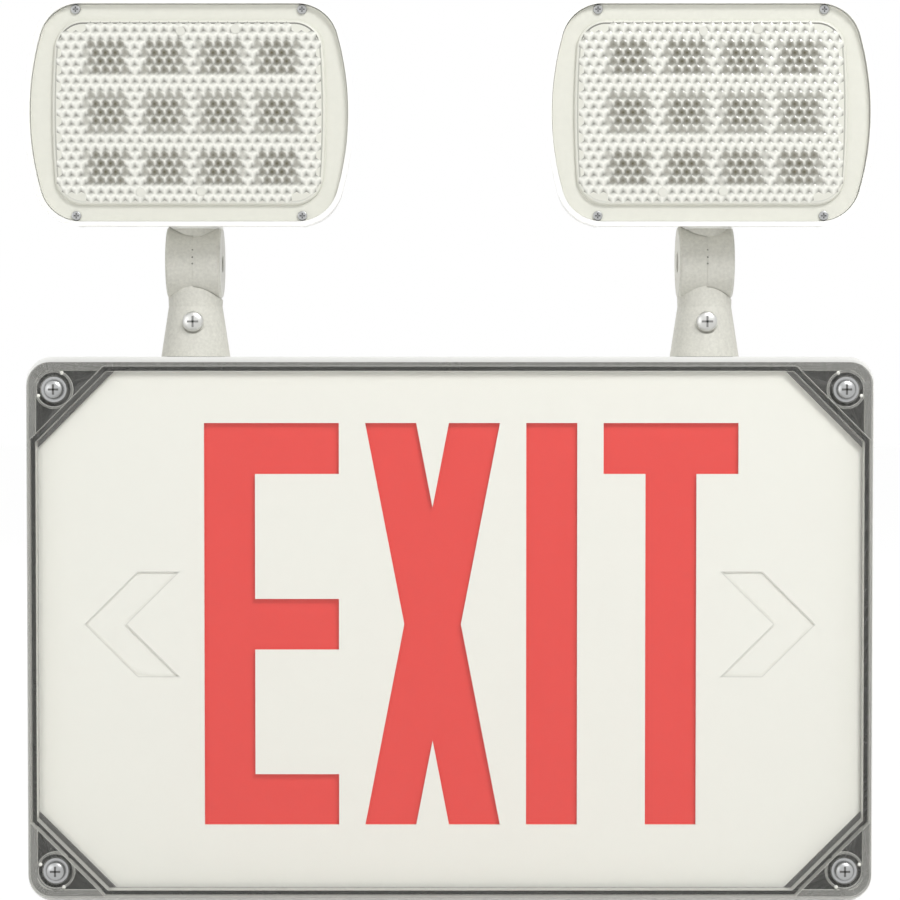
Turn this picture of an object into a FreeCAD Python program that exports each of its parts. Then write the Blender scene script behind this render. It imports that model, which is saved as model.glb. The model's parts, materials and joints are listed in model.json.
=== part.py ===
import FreeCAD
import Part
import Sketcher
import os

# Emergency exit light: a wall sign with a battery-backed EXIT legend behind a clear
# cover, and two lamp heads on swivel arms.
#
# Frame: origin at the centre of the wall-mounting face, +X to the viewer's right,
# +Z up, and the front faces -Y. "Depth" is the distance in front of the wall.
# Arms and lamp heads are drawn about their own tilt axis and placed on the housing.

SIZES = {
    # housing
    "housing_width": 320.0,
    "housing_height": 206.4,
    "housing_depth": 57.0,
    "housing_wall": 3.5,
    "back_wall": 3.5,
    "corner_radius": 10.0,
    "back_edge_radius": 2.5,
    "web_thickness": 6.0,
    "web_corner": 3.0,
    "boss_radius": 5.0,
    "seal_groove": 1.8,
    "rear_seal_radius": 62.0,
    "rear_seal_width": 7.0,
    "wire_hole_radius": 11.1,
    "box_hole_radius": 2.4,
    "box_hole_pitch": 88.9,
    # sealed front
    "side_reveal": 1.1,
    "top_reveal": 2.0,
    "flange_corner_radius": 8.5,
    "gasket_thickness": 2.0,
    "flange_thickness": 2.2,
    "lip_width": 1.5,
    "corner_lip": 3.2,
    "lip_rise": 1.2,
    "dome_cut": 27.6,
    "dome_rise": 6.0,
    "cover_wall": 2.0,
    "gasket_margin": 1.8,
    "gasket_corner": 1.4,
    "screw_inset_x": 11.1,
    "screw_inset_z": 12.3,
    "screw_ring_radius": 7.3,
    "screw_ring_width": 0.8,
    "screw_pad_sink": 0.7,
    # legend
    "legend_thickness": 1.5,
    "legend_clearance": 0.5,
    "legend_rise": 2.0,
    "legend_shift": 8.0,
    "letter_height": 152.4,
    "letter_width": 51.0,
    "letter_stroke": 19.3,
    "letter_gap": 9.9,
    "letter_waist": 21.4,
    "chevron_tip": 138.4,
    "chevron_height": 40.2,
    "chevron_reach": 20.2,
    "chevron_band": 16.2,
    "chevron_sink": 0.5,
    "diffuser_thickness": 1.6,
    "diffuser_margin": 12.0,
    # light box and its lamps
    "box_depth": 22.0,
    "post_boss_radius": 4.0,
    "box_screw_inset": 8.0,
    "box_wall": 1.6,
    "led_rows": 3,
    "led_columns": 9,
    "led_size": 4.0,
    "led_height": 1.5,
    "board_thickness": 1.6,
    "board_margin": 9.0,
    # power parts
    "control_width": 112.0,
    "control_height": 70.0,
    "control_x": 72.0,
    "control_rise": 3.0,
    "transformer_width": 34.0,
    "transformer_height": 30.0,
    "transformer_depth": 16.0,
    "transformer_shift": 28.0,
    "can_radius": 4.8,
    "can_height": 12.0,
    "can_count": 3,
    "can_pitch": 17.5,
    "can_shift": 28.0,
    "relay_width": 14.0,
    "relay_height": 17.5,
    "relay_depth": 8.0,
    "relay_shift": 7.0,
    "cell_radius": 9.5,
    "cell_length": 50.0,
    "cell_count": 4,
    "battery_x": 84.0,
    "strap_thickness": 1.5,
    "strap_width": 14.0,
    # fasteners
    "cover_screw_radius": 1.9,
    "cover_head_radius": 3.5,
    "cover_head_height": 2.0,
    "washer_radius": 4.8,
    "washer_thickness": 0.8,
    "cover_screw_length": 20.0,
    "small_screw_radius": 1.25,
    "small_head_radius": 2.4,
    "small_head_height": 1.5,
    "small_screw_length": 6.0,
    "short_screw_bite": 2.2,
    "head_rounding": 0.45,
    "recess_reach": 0.55,
    "recess_arm": 0.13,
    "recess_depth": 0.5,
    "thread_clearance": 0.05,
    "slip_clearance": 0.3,
    # test button, lamp and conduit plug
    "button_depth": 30.0,
    "button_z": -20.0,
    "button_radius": 5.0,
    "button_travel": 1.5,
    "button_length": 7.0,
    "bezel_radius": 8.0,
    "bezel_rise": 1.2,
    "lamp_length": 7.0,
    "lamp_radius": 2.5,
    "lamp_rounding": 1.0,
    "lamp_offset": 20.0,
    "plug_radius": 10.4,
    "plug_rise": 1.0,
    "hex_socket": 9.5,
    "switch_size": 12.0,
    "switch_depth": 6.0,
    # arms
    "arm_spacing": 195.2,
    "arm_depth": 38.0,
    "axis_rise": 36.2,
    "drum_radius": 14.1,
    "drum_width": 20.8,
    "drum_chamfer": 0.9,
    "seam_gap": 0.05,
    "saddle_clearance": 0.3,
    "base_radius": 13.2,
    "waist_radius": 10.3,
    "neck_radius": 10.6,
    "waist_drop": 17.0,
    "swivel_gap": 0.15,
    "post_radius": 8.0,
    "post_wall": 2.6,
    "post_flange_radius": 11.0,
    "post_flange": 2.0,
    "post_seal": 1.0,
    "post_rise": 18.5,
    "groove_width": 6.0,
    "groove_sink": 1.0,
    "locknut_flats": 22.0,
    "locknut_thickness": 5.0,
    "clamp_drop": 22.8,
    "clamp_radius": 2.0,
    "clamp_head_radius": 3.9,
    "clamp_head_height": 2.6,
    "clamp_seat": 10.6,
    "clamp_pocket_radius": 4.6,
    "pivot_radius": 2.5,
    "pivot_head_radius": 3.6,
    "pivot_head_height": 2.4,
    "pivot_recess": 3.0,
    "pivot_thread": 2.4,
    "fit_clearance": 0.05,
    # lamp heads
    "head_width": 122.9,
    "head_height": 85.0,
    "head_bow": 108.7,
    "head_corner": 17.3,
    "head_rise": 55.0,
    "head_front": 27.0,
    "head_back": 10.0,
    "head_back_radius": 9.0,
    "head_draft": 2.5,
    "head_wall": 4.0,
    "head_back_wall": 3.5,
    "neck_rise": 40.0,
    "rim_width": 1.9,
    "rim_clearance": 0.2,
    "lens_sink": 2.0,
    "lens_flange": 2.0,
    "lens_seal": 0.8,
    "lens_wall": 1.8,
    "window_width": 102.4,
    "window_height": 69.0,
    "window_bow": 330.0,
    "window_corner": 11.0,
    "window_rise": 1.5,
    "lens_screw_x": 42.3,
    "lens_screw_z": 38.5,
    "lens_boss_radius": 3.4,
    "lens_boss_length": 15.0,
    "lens_screw_radius": 0.9,
    "lens_head_radius": 1.8,
    "lens_head_height": 0.8,
    "lens_screw_length": 9.0,
    "lamp_pitch_x": 21.2,
    "lamp_pitch_z": 20.6,
    "lamp_columns": 4,
    "lamp_rows": 3,
    "lamp_size": 5.0,
    "lamp_height": 1.4,
    "head_board_width": 98.0,
    "head_board_height": 64.0,
    "head_board_front": 8.0,
    "board_post_radius": 2.5,
    "board_post_inset": 5.0,
    "cup_width": 17.0,
    "cup_height": 15.2,
    "cup_depth": 9.0,
    "cup_taper": 24.0,
}

doc = FreeCAD.newDocument("emergency_exit_light")
sheet = doc.addObject("Spreadsheet::Sheet", "Sizes")
for row, (alias, value) in enumerate(SIZES.items(), start=1):
    sheet.set(f"A{row}", alias)
    sheet.set(f"B{row}", str(value))
    sheet.setAlias(f"B{row}", alias)
doc.recompute()

FRONT = "XZ_Plane"
TOP = "XY_Plane"
SIDE = "YZ_Plane"
SUBPARTS = []


# ---------------------------------------------------------------- drawing helpers

def expr(text):
    """Write sheet names in an expression in full."""
    words = "".join(c if c.isalnum() or c == "_" else " " for c in text).split()
    for word in sorted(set(words), key=len, reverse=True):
        if word in SIZES:
            text = _swap(text, word)
    return text


def _swap(text, word):
    pieces = []
    rest = text
    while word in rest:
        before, rest = rest.split(word, 1)
        joined = (before[-1:].isalnum() or before[-1:] in ("_", ".")
                  or rest[:1].isalnum() or rest[:1] == "_")
        pieces.append(before + (word if joined else f"Sizes.{word}"))
    return "".join(pieces) + rest


def value(text):
    """The number that an expression of sheet names gives now."""
    result = sheet.evalExpression(expr(text))
    return float(getattr(result, "Value", result))


def new_body(label, place=None):
    """A body for one sub-part, placed at (x, depth, z) when it has a place."""
    body = doc.addObject("PartDesign::Body", label)
    body.Label = label
    body.AllowCompound = True
    if place:
        body.setExpression("Placement.Base.x", expr(place[0]))
        body.setExpression("Placement.Base.y", expr(f"-({place[1]})"))
        body.setExpression("Placement.Base.z", expr(place[2]))
    SUBPARTS.append(body)
    return body


def new_sketch(body, name, role, offset="0", across="0", up="0"):
    """A sketch on one of the body's origin planes, moved along its normal."""
    sketch = body.newObject("Sketcher::SketchObject", name)
    plane = [item for item in body.Origin.OriginFeatures if item.Role == role][0]
    sketch.AttachmentSupport = [(plane, "")]
    sketch.MapMode = "FlatFace"
    sketch.setExpression("AttachmentOffset.Base.x", expr(across))
    sketch.setExpression("AttachmentOffset.Base.y", expr(up))
    sketch.setExpression("AttachmentOffset.Base.z", expr(offset))
    return sketch


def pin_point(sketch, geometry, vertex, point):
    """Bind one point of the sketch to a pair of expressions."""
    for kind, text in zip(("DistanceX", "DistanceY"), point):
        index = sketch.addConstraint(
            Sketcher.Constraint(kind, -1, 1, geometry, vertex, value(text)))
        sketch.setExpression(f"Constraints[{index}]", expr(text))


def add_polygon(sketch, points):
    """A closed polygon whose corners are pairs of expressions."""
    corners = [FreeCAD.Vector(value(x), value(y), 0) for x, y in points]
    count = len(points)
    first = sketch.GeometryCount
    for index in range(count):
        line = Part.LineSegment(corners[index], corners[(index + 1) % count])
        sketch.addGeometry(line, False)
    for index in range(count):
        following = first + (index + 1) % count
        sketch.addConstraint(Sketcher.Constraint("Coincident", first + index, 2, following, 1))
    for index, point in enumerate(points):
        pin_point(sketch, first + index, 1, point)


def add_rectangle(sketch, half_width, half_height, x="0", y="0"):
    left, right = f"({x}) - ({half_width})", f"({x}) + ({half_width})"
    low, high = f"({y}) - ({half_height})", f"({y}) + ({half_height})"
    add_polygon(sketch, [(left, low), (right, low), (right, high), (left, high)])


def add_circle(sketch, radius, x="0", y="0"):
    centre = FreeCAD.Vector(value(x), value(y), 0)
    circle = Part.Circle(centre, FreeCAD.Vector(0, 0, 1), value(radius))
    index = sketch.addGeometry(circle, False)
    pin_point(sketch, index, 3, (x, y))
    size = sketch.addConstraint(Sketcher.Constraint("Radius", index, value(radius)))
    sketch.setExpression(f"Constraints[{size}]", expr(radius))


def add_hexagon(sketch, flats, x="0", y="0"):
    points = []
    for step in range(6):
        angle = f"{60 * step} deg"
        reach = f"({flats}) / sqrt(3)"
        points.append((f"({x}) + {reach} * cos({angle})", f"({y}) + {reach} * sin({angle})"))
    add_polygon(sketch, points)


def add_octagon(sketch, half_width, half_height, cut):
    """A rectangle whose four corners are cut at 45 degrees."""
    near_x, near_y = f"({half_width}) - ({cut})", f"({half_height}) - ({cut})"
    quarter = [(near_x, f"-({half_height})"), (half_width, f"-({near_y})"),
               (half_width, near_y), (near_x, half_height)]
    mirrored = [(f"-({x})", y) for x, y in reversed(quarter)]
    add_polygon(sketch, quarter + mirrored)


def add_bowed(sketch, form, inset, rise):
    """A head or window outline: straight top and bottom, bowed sides, round corners."""
    full_bow, full_corner = f"{form}_bow", f"{form}_corner"
    bow, corner = f"({full_bow} - ({inset}))", f"({full_corner} - ({inset}))"
    middle = f"({form}_width / 2 - {full_bow})"
    corner_z = f"({form}_height / 2 - {full_corner})"
    spread = f"({full_bow} - {full_corner})"
    corner_x = f"({middle} + sqrt({spread} ^ 2 - {corner_z} ^ 2))"
    share = f"({bow} / {spread})"
    side_x = f"({middle} + ({corner_x} - {middle}) * {share})"
    side_z = f"({corner_z} * {share})"
    end_z = f"({form}_height / 2 - ({inset}))"
    lean = f"asin({corner_z} / {spread})"
    turn_x = f"({corner_x} + {corner} * cos((90 deg + {lean}) / 2))"
    turn_z = f"({corner_z} + {corner} * sin((90 deg + {lean}) / 2))"
    reach = f"({middle} + {bow})"
    # each stretch: start, a point half way (None where straight), radius
    quarter = [((reach, "0"), (side_x, side_z)), ((turn_x, turn_z), (corner_x, end_z))]
    start = (side_x, f"-{side_z}")
    path = [(start, quarter[0][0], (side_x, side_z), bow),
            ((side_x, side_z), quarter[1][0], (corner_x, end_z), corner),
            ((corner_x, end_z), None, (f"-{corner_x}", end_z), None),
            ((f"-{corner_x}", end_z), (f"-{turn_x}", turn_z), (f"-{side_x}", side_z), corner),
            ((f"-{side_x}", side_z), (f"-{reach}", "0"), (f"-{side_x}", f"-{side_z}"), bow),
            ((f"-{side_x}", f"-{side_z}"), (f"-{turn_x}", f"-{turn_z}"),
             (f"-{corner_x}", f"-{end_z}"), corner),
            ((f"-{corner_x}", f"-{end_z}"), None, (corner_x, f"-{end_z}"), None),
            ((corner_x, f"-{end_z}"), (turn_x, f"-{turn_z}"), start, corner)]
    add_path(sketch, path, rise)


def add_path(sketch, path, rise):
    """A closed outline of lines and arcs, moved up by a rise."""
    first = sketch.GeometryCount
    count = len(path)
    for start, middle, end, radius in path:
        ends = [FreeCAD.Vector(value(x), value(f"{z} + {rise}"), 0) for x, z in (start, end)]
        if middle is None:
            sketch.addGeometry(Part.LineSegment(*ends), False)
        else:
            halfway = FreeCAD.Vector(value(middle[0]), value(f"{middle[1]} + {rise}"), 0)
            sketch.addGeometry(Part.Arc(ends[0], halfway, ends[1]), False)
    for step in range(count):
        following = first + (step + 1) % count
        sketch.addConstraint(Sketcher.Constraint("Coincident", first + step, 2, following, 1))
    for step, (start, middle, end, radius) in enumerate(path):
        pin_point(sketch, first + step, 1, (start[0], f"{start[1]} + {rise}"))
        if radius:
            size = sketch.addConstraint(
                Sketcher.Constraint("Radius", first + step, value(radius)))
            sketch.setExpression(f"Constraints[{size}]", expr(radius))


def pad(body, sketch, length, backward=False, taper=None):
    feature = body.newObject("PartDesign::Pad", f"{sketch.Name}_pad")
    feature.Profile = sketch
    feature.setExpression("Length", expr(length))
    feature.Reversed = backward
    if taper:
        feature.setExpression("TaperAngle", expr(taper))
    doc.recompute()


def pocket(body, sketch, length, backward=True, taper=None):
    """Cut along the sketch's normal, or against it when backward."""
    before = body.Shape.Volume
    feature = body.newObject("PartDesign::Pocket", f"{sketch.Name}_cut")
    feature.Profile = sketch
    feature.setExpression("Length", expr(length))
    feature.Reversed = not backward
    if taper:
        feature.setExpression("TaperAngle", expr(taper))
    doc.recompute()
    if body.Shape.Volume >= before:
        raise RuntimeError(f"{body.Label}: {sketch.Name} cuts nothing")


def revolve(body, sketch, axis):
    feature = body.newObject("PartDesign::Revolution", f"{sketch.Name}_turned")
    feature.Profile = sketch
    feature.ReferenceAxis = (sketch, [axis])
    doc.recompute()


def round_edges(body, names, radius):
    if not names:
        raise RuntimeError(f"{body.Label}: no edge to round")
    base = body.Tip
    feature = body.newObject("PartDesign::Fillet", f"{body.Name}_round")
    feature.Base = (base, names)
    feature.setExpression("Radius", expr(radius))
    doc.recompute()


def edges_through(shape, direction):
    """Names of the straight edges that run along a direction."""
    names = []
    for number, edge in enumerate(shape.Edges, start=1):
        if edge.Curve.TypeId != "Part::GeomLine":
            continue
        along = edge.tangentAt(edge.FirstParameter)
        if abs(abs(along.dot(direction)) - 1) < 1e-6:
            names.append(f"Edge{number}")
    return names


def edges_at(shape, axis, position):
    """Names of the edges that lie in the plane where the axis has a position."""
    names = []
    for number, edge in enumerate(shape.Edges, start=1):
        box = edge.BoundBox
        low, high = getattr(box, f"{axis}Min"), getattr(box, f"{axis}Max")
        if abs(low - position) > 1e-4 or abs(high - position) > 1e-4:
            continue
        names.append(f"Edge{number}")
    return names


def upright_edges(body):
    """Edges square to the front, seen in the body's own frame."""
    return edges_through(body.Tip.Shape, FreeCAD.Vector(0, 1, 0))


def short_upright_edges(body, length):
    """Only those upright edges that have a length."""
    shape = body.Tip.Shape
    return [name for name in upright_edges(body)
            if abs(shape.getElement(name).Length - value(length)) < 1e-6]


def four(x, z):
    """Four places, mirrored left and right, up and down."""
    return [(f"{a}({x})", f"{b}({z})") for a in ("", "-") for b in ("", "-")]


def grid(columns, rows, pitch_x, pitch_z):
    """Places of a centred grid whose counts are sizes."""
    places = []
    for column in range(int(value(columns))):
        for line in range(int(value(rows))):
            x = f"({column} - ({columns} - 1) / 2) * ({pitch_x})"
            z = f"({line} - ({rows} - 1) / 2) * ({pitch_z})"
            places.append((x, z))
    return places


# ---------------------------------------------------------------- shared places

SCREW_X = "housing_width / 2 - screw_inset_x"
SCREW_Z = "housing_height / 2 - screw_inset_z"
SCREWS = four(SCREW_X, SCREW_Z)
FLANGE_X = "housing_width / 2 - side_reveal"
FLANGE_Z = "housing_height / 2 - top_reveal"
DOME_X = f"({FLANGE_X}) - lip_width"
DOME_Z = f"({FLANGE_Z}) - lip_width"
OPENING_X = f"({DOME_X}) - gasket_margin"
OPENING_Z = f"({DOME_Z}) - gasket_margin"
OPENING_CUT = "dome_cut + gasket_corner"
FLANGE_BACK = "housing_depth + gasket_thickness"
FLANGE_FRONT = f"{FLANGE_BACK} + flange_thickness"
SEAT = f"{FLANGE_FRONT} - screw_pad_sink"
CAVITY_X = "housing_width / 2 - housing_wall"
CAVITY_Z = "housing_height / 2 - housing_wall"
LEGEND_X = f"({CAVITY_X}) - legend_clearance"
LEGEND_Z = f"({CAVITY_Z}) - legend_clearance"
LEGEND_BACK = "housing_depth - legend_thickness"
DIFFUSER_BACK = f"{LEGEND_BACK} - diffuser_thickness"
BOX_BACK = f"{DIFFUSER_BACK} - box_depth"
BOX_X = f"({LEGEND_X}) - diffuser_margin"
BOX_Z = f"({LEGEND_Z}) - diffuser_margin"
BOX_SCREWS = four(f"{BOX_X} - box_screw_inset", f"{BOX_Z} - dome_cut")
CONTROL_SCREWS = [(f"control_x + {a}(control_width / 2 - 2 * small_head_radius)",
                   f"{b}(control_height / 2 - 2 * small_head_radius)")
                  for a in ("", "-") for b in ("", "-")]
CONTROL_BACK = "back_wall + control_rise"
CONTROL_FRONT = f"{CONTROL_BACK} + board_thickness"
CELL_STACK = "(cell_count * cell_radius + (cell_count - 1) * slip_clearance / 2)"
STRAP_SIDE = f"({CELL_STACK} + slip_clearance)"
STRAP_OUTER = f"({STRAP_SIDE} + strap_thickness)"
STRAP_SCREWS = [("-battery_x", f"{sign}({STRAP_OUTER} + strap_width / 2)") for sign in ("", "-")]
AXIS_Z = "housing_height / 2 + axis_rise"
ARM_SIGNS = {"left": "-", "right": ""}
HEAD_SEAT = "head_front - lens_sink - lens_flange"


def arm_place(side):
    return (f"{ARM_SIGNS[side]}arm_spacing / 2", "arm_depth", AXIS_Z)


# ---------------------------------------------------------------- housing and seals

def make_housing():
    body = new_body("back_housing")
    outline = new_sketch(body, "housing_outline", FRONT)
    add_rectangle(outline, "housing_width / 2", "housing_height / 2")
    pad(body, outline, "housing_depth")
    round_edges(body, upright_edges(body), "corner_radius")
    round_edges(body, edges_at(body.Tip.Shape, "Y", 0), "back_edge_radius")
    cavity = new_sketch(body, "housing_cavity", FRONT, "housing_depth")
    add_rectangle(cavity, CAVITY_X, CAVITY_Z)
    pocket(body, cavity, "housing_depth - back_wall")
    bosses = new_sketch(body, "housing_bosses", FRONT, "back_wall / 2")
    for x, z in SCREWS:
        add_circle(bosses, "boss_radius", x, z)
    pad(body, bosses, "housing_depth - back_wall / 2")
    webs = new_sketch(body, "housing_webs", FRONT, "housing_depth")
    for across in (1, -1):
        for up in (1, -1):
            add_web(webs, across, up)
    pad(body, webs, "web_thickness", backward=True)
    add_housing_posts(body)
    cut_housing_holes(body)


def add_housing_posts(body):
    """Posts that carry the light box and the control board."""
    posts = new_sketch(body, "box_posts", FRONT, BOX_BACK)
    for x, z in BOX_SCREWS:
        add_circle(posts, "post_boss_radius", x, z)
    pad(body, posts, f"{BOX_BACK} - back_wall / 2", backward=True)
    pilots = new_sketch(body, "box_pilots", FRONT, BOX_BACK)
    for x, z in BOX_SCREWS:
        add_circle(pilots, "small_screw_radius + thread_clearance", x, z)
    pocket(body, pilots, "small_screw_length")
    low = new_sketch(body, "control_posts", FRONT, CONTROL_BACK)
    for x, z in CONTROL_SCREWS:
        add_circle(low, "small_head_radius + thread_clearance", x, z)
    pad(body, low, "control_rise + back_wall / 2", backward=True)
    holes = new_sketch(body, "control_pilots", FRONT, CONTROL_BACK)
    for x, z in CONTROL_SCREWS:
        add_circle(holes, "small_screw_radius + thread_clearance", x, z)
    pocket(body, holes, "control_rise + short_screw_bite")
    strap = new_sketch(body, "strap_pilots", FRONT, "back_wall")
    for x, z in STRAP_SCREWS:
        add_circle(strap, "small_screw_radius + thread_clearance", x, z)
    pocket(body, strap, "short_screw_bite")


def add_web(sketch, across, up):
    """A corner triangle that carries the gasket behind the cover's cut corner."""
    outer_x = f"{across} * (({CAVITY_X}) + housing_wall / 2)"
    outer_z = f"{up} * (({CAVITY_Z}) + housing_wall / 2)"
    leg = "(dome_cut + housing_wall / 2)"
    reach_x = f"{across} * (({CAVITY_X}) - {leg})"
    reach_z = f"{up} * (({CAVITY_Z}) - {leg})"
    add_polygon(sketch, [
        (f"{outer_x} - {across} * web_corner", outer_z), (reach_x, outer_z),
        (outer_x, reach_z), (outer_x, f"{outer_z} - {up} * web_corner")])


def cut_housing_holes(body):
    pilots = new_sketch(body, "cover_pilots", FRONT, "housing_depth")
    for x, z in SCREWS:
        add_circle(pilots, "cover_screw_radius + thread_clearance", x, z)
    pocket(body, pilots, "cover_screw_length - gasket_thickness")
    posts = new_sketch(body, "post_holes", TOP, "housing_height / 2")
    for sign in ARM_SIGNS.values():
        add_circle(posts, "post_radius + thread_clearance", f"{sign}arm_spacing / 2", "-arm_depth")
    pocket(body, posts, "housing_wall")
    wires = new_sketch(body, "wall_holes", FRONT)
    add_circle(wires, "wire_hole_radius")
    for x in ("box_hole_pitch / 2", "-box_hole_pitch / 2"):
        add_circle(wires, "box_hole_radius", x)
    pocket(body, wires, "back_wall", backward=False)
    groove = new_sketch(body, "seal_groove", FRONT)
    add_circle(groove, "rear_seal_radius")
    add_circle(groove, "rear_seal_radius - rear_seal_width")
    pocket(body, groove, "seal_groove", backward=False)
    cut_side_holes(body)


def cut_side_holes(body):
    right = new_sketch(body, "button_hole", SIDE, "housing_width / 2")
    add_circle(right, "bezel_radius - bezel_rise", "-button_depth", "button_z")
    add_circle(right, "lamp_radius + thread_clearance", "-button_depth", "button_z + lamp_offset")
    pocket(body, right, "housing_wall")
    left = new_sketch(body, "conduit_hole", SIDE, "-housing_width / 2")
    add_circle(left, "plug_radius + thread_clearance", "-button_depth")
    pocket(body, left, "housing_wall", backward=False)


def make_rear_seal():
    body = new_body("rear_gasket")
    ring = new_sketch(body, "rear_ring", FRONT)
    add_circle(ring, "rear_seal_radius")
    add_circle(ring, "rear_seal_radius - rear_seal_width")
    pad(body, ring, "seal_groove")


def make_cover_gasket():
    body = new_body("cover_gasket")
    outline = new_sketch(body, "gasket_outline", FRONT, "housing_depth")
    add_rectangle(outline, FLANGE_X, FLANGE_Z)
    pad(body, outline, "gasket_thickness")
    round_edges(body, upright_edges(body), "flange_corner_radius")
    opening = new_sketch(body, "gasket_opening", FRONT, FLANGE_BACK)
    add_octagon(opening, OPENING_X, OPENING_Z, OPENING_CUT)
    for x, z in SCREWS:
        add_circle(opening, "cover_screw_radius + slip_clearance", x, z)
    pocket(body, opening, "gasket_thickness")


def make_clear_cover():
    body = new_body("clear_cover")
    outline = new_sketch(body, "flange_outline", FRONT, FLANGE_BACK)
    add_rectangle(outline, FLANGE_X, FLANGE_Z)
    pad(body, outline, "flange_thickness + lip_rise")
    round_edges(body, upright_edges(body), "flange_corner_radius")
    sunk = new_sketch(body, "corner_sink", FRONT, f"{FLANGE_FRONT} + lip_rise")
    add_rectangle(sunk, f"({FLANGE_X}) - corner_lip", f"({FLANGE_Z}) - corner_lip")
    pocket(body, sunk, "lip_rise")
    round_edges(body, short_upright_edges(body, "lip_rise"), "flange_corner_radius - corner_lip")
    dome = new_sketch(body, "dome_outline", FRONT, FLANGE_BACK)
    add_octagon(dome, DOME_X, DOME_Z, "dome_cut")
    pad(body, dome, "flange_thickness + dome_rise")
    hollow = new_sketch(body, "dome_hollow", FRONT, FLANGE_BACK)
    add_octagon(hollow, f"({DOME_X}) - cover_wall", f"({DOME_Z}) - cover_wall",
                "dome_cut - cover_wall * (2 - sqrt(2))")
    pocket(body, hollow, "flange_thickness + dome_rise - cover_wall", backward=False)
    rings = new_sketch(body, "screw_rings", FRONT, FLANGE_FRONT)
    for x, z in SCREWS:
        add_circle(rings, "screw_ring_radius", x, z)
        add_circle(rings, "screw_ring_radius - screw_ring_width", x, z)
    pad(body, rings, "lip_rise")
    pads = new_sketch(body, "screw_pads", FRONT, FLANGE_FRONT)
    for x, z in SCREWS:
        add_circle(pads, "washer_radius + slip_clearance", x, z)
    pocket(body, pads, "screw_pad_sink")
    holes = new_sketch(body, "screw_holes", FRONT, FLANGE_FRONT)
    for x, z in SCREWS:
        add_circle(holes, "cover_screw_radius + slip_clearance", x, z)
    pocket(body, holes, "flange_thickness")


# ---------------------------------------------------------------- legend and light box

def letter_left(position):
    """Left edge of the letter slot whose widths are E, X, I, T in order."""
    total = "(3 * letter_width + letter_stroke + 3 * letter_gap)"
    before = {
        "E": "0",
        "X": "letter_width + letter_gap",
        "I": "2 * (letter_width + letter_gap)",
        "T": "2 * (letter_width + letter_gap) + letter_stroke + letter_gap",
    }[position]
    return f"(legend_shift - {total} / 2 + {before})"


LETTER_LOW = "(legend_rise - letter_height / 2)"
LETTER_HIGH = "(legend_rise + letter_height / 2)"


def add_letter_e(sketch):
    left = letter_left("E")
    right = f"({left} + letter_width)"
    inner = f"({left} + letter_stroke)"
    low_arm = f"({LETTER_LOW} + letter_stroke)"
    high_arm = f"({LETTER_HIGH} - letter_stroke)"
    mid_low = "(legend_rise - letter_stroke / 2)"
    mid_high = "(legend_rise + letter_stroke / 2)"
    add_polygon(sketch, [
        (left, LETTER_LOW), (right, LETTER_LOW), (right, low_arm), (inner, low_arm),
        (inner, mid_low), (right, mid_low), (right, mid_high), (inner, mid_high),
        (inner, high_arm), (right, high_arm), (right, LETTER_HIGH), (left, LETTER_HIGH)])


def add_letter_x(sketch):
    left = letter_left("X")
    right = f"({left} + letter_width)"
    middle = f"({left} + letter_width / 2)"
    notch = "(letter_height / 2 * (letter_width - 2 * letter_stroke)"
    notch += " / (letter_width - letter_waist))"
    waist_low = f"({LETTER_LOW} + {notch})"
    waist_high = f"({LETTER_HIGH} - {notch})"
    add_polygon(sketch, [
        (left, LETTER_LOW), (f"{left} + letter_stroke", LETTER_LOW), (middle, waist_low),
        (f"{right} - letter_stroke", LETTER_LOW), (right, LETTER_LOW),
        (f"{middle} + letter_waist / 2", "legend_rise"), (right, LETTER_HIGH),
        (f"{right} - letter_stroke", LETTER_HIGH), (middle, waist_high),
        (f"{left} + letter_stroke", LETTER_HIGH), (left, LETTER_HIGH),
        (f"{middle} - letter_waist / 2", "legend_rise")])


def add_letter_i(sketch):
    add_rectangle(sketch, "letter_stroke / 2", "letter_height / 2",
                  f"{letter_left('I')} + letter_stroke / 2", "legend_rise")


def add_letter_t(sketch):
    left = letter_left("T")
    right = f"({left} + letter_width)"
    middle = f"({left} + letter_width / 2)"
    under = f"({LETTER_HIGH} - letter_stroke)"
    stem_left = f"{middle} - letter_stroke / 2"
    stem_right = f"{middle} + letter_stroke / 2"
    add_polygon(sketch, [
        (stem_left, LETTER_LOW), (stem_right, LETTER_LOW), (stem_right, under),
        (right, under), (right, LETTER_HIGH), (left, LETTER_HIGH), (left, under),
        (stem_left, under)])


def add_chevron(sketch, sign):
    """A direction chevron that points away from the legend."""
    tip = f"{sign} * chevron_tip"
    wing = f"{sign} * (chevron_tip - chevron_reach)"
    low = "legend_rise - chevron_height / 2"
    high = "legend_rise + chevron_height / 2"
    add_polygon(sketch, [
        (tip, "legend_rise"), (wing, high), (f"{wing} - {sign} * chevron_band", high),
        (f"{tip} - {sign} * chevron_band", "legend_rise"),
        (f"{wing} - {sign} * chevron_band", low), (wing, low)])


def make_legend():
    body = new_body("legend_plate")
    outline = new_sketch(body, "legend_outline", FRONT, LEGEND_BACK)
    add_octagon(outline, LEGEND_X, LEGEND_Z, "dome_cut")
    pad(body, outline, "legend_thickness")
    letters = new_sketch(body, "legend_letters", FRONT, "housing_depth")
    add_letter_e(letters)
    add_letter_x(letters)
    add_letter_i(letters)
    add_letter_t(letters)
    pocket(body, letters, "legend_thickness")
    chevrons = new_sketch(body, "legend_chevrons", FRONT, "housing_depth")
    for sign in (1, -1):
        add_chevron(chevrons, sign)
    pocket(body, chevrons, "chevron_sink")


def make_diffuser():
    body = new_body("red_diffuser")
    outline = new_sketch(body, "diffuser_outline", FRONT, DIFFUSER_BACK)
    add_octagon(outline, BOX_X, BOX_Z, "dome_cut")
    pad(body, outline, "diffuser_thickness")


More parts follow.
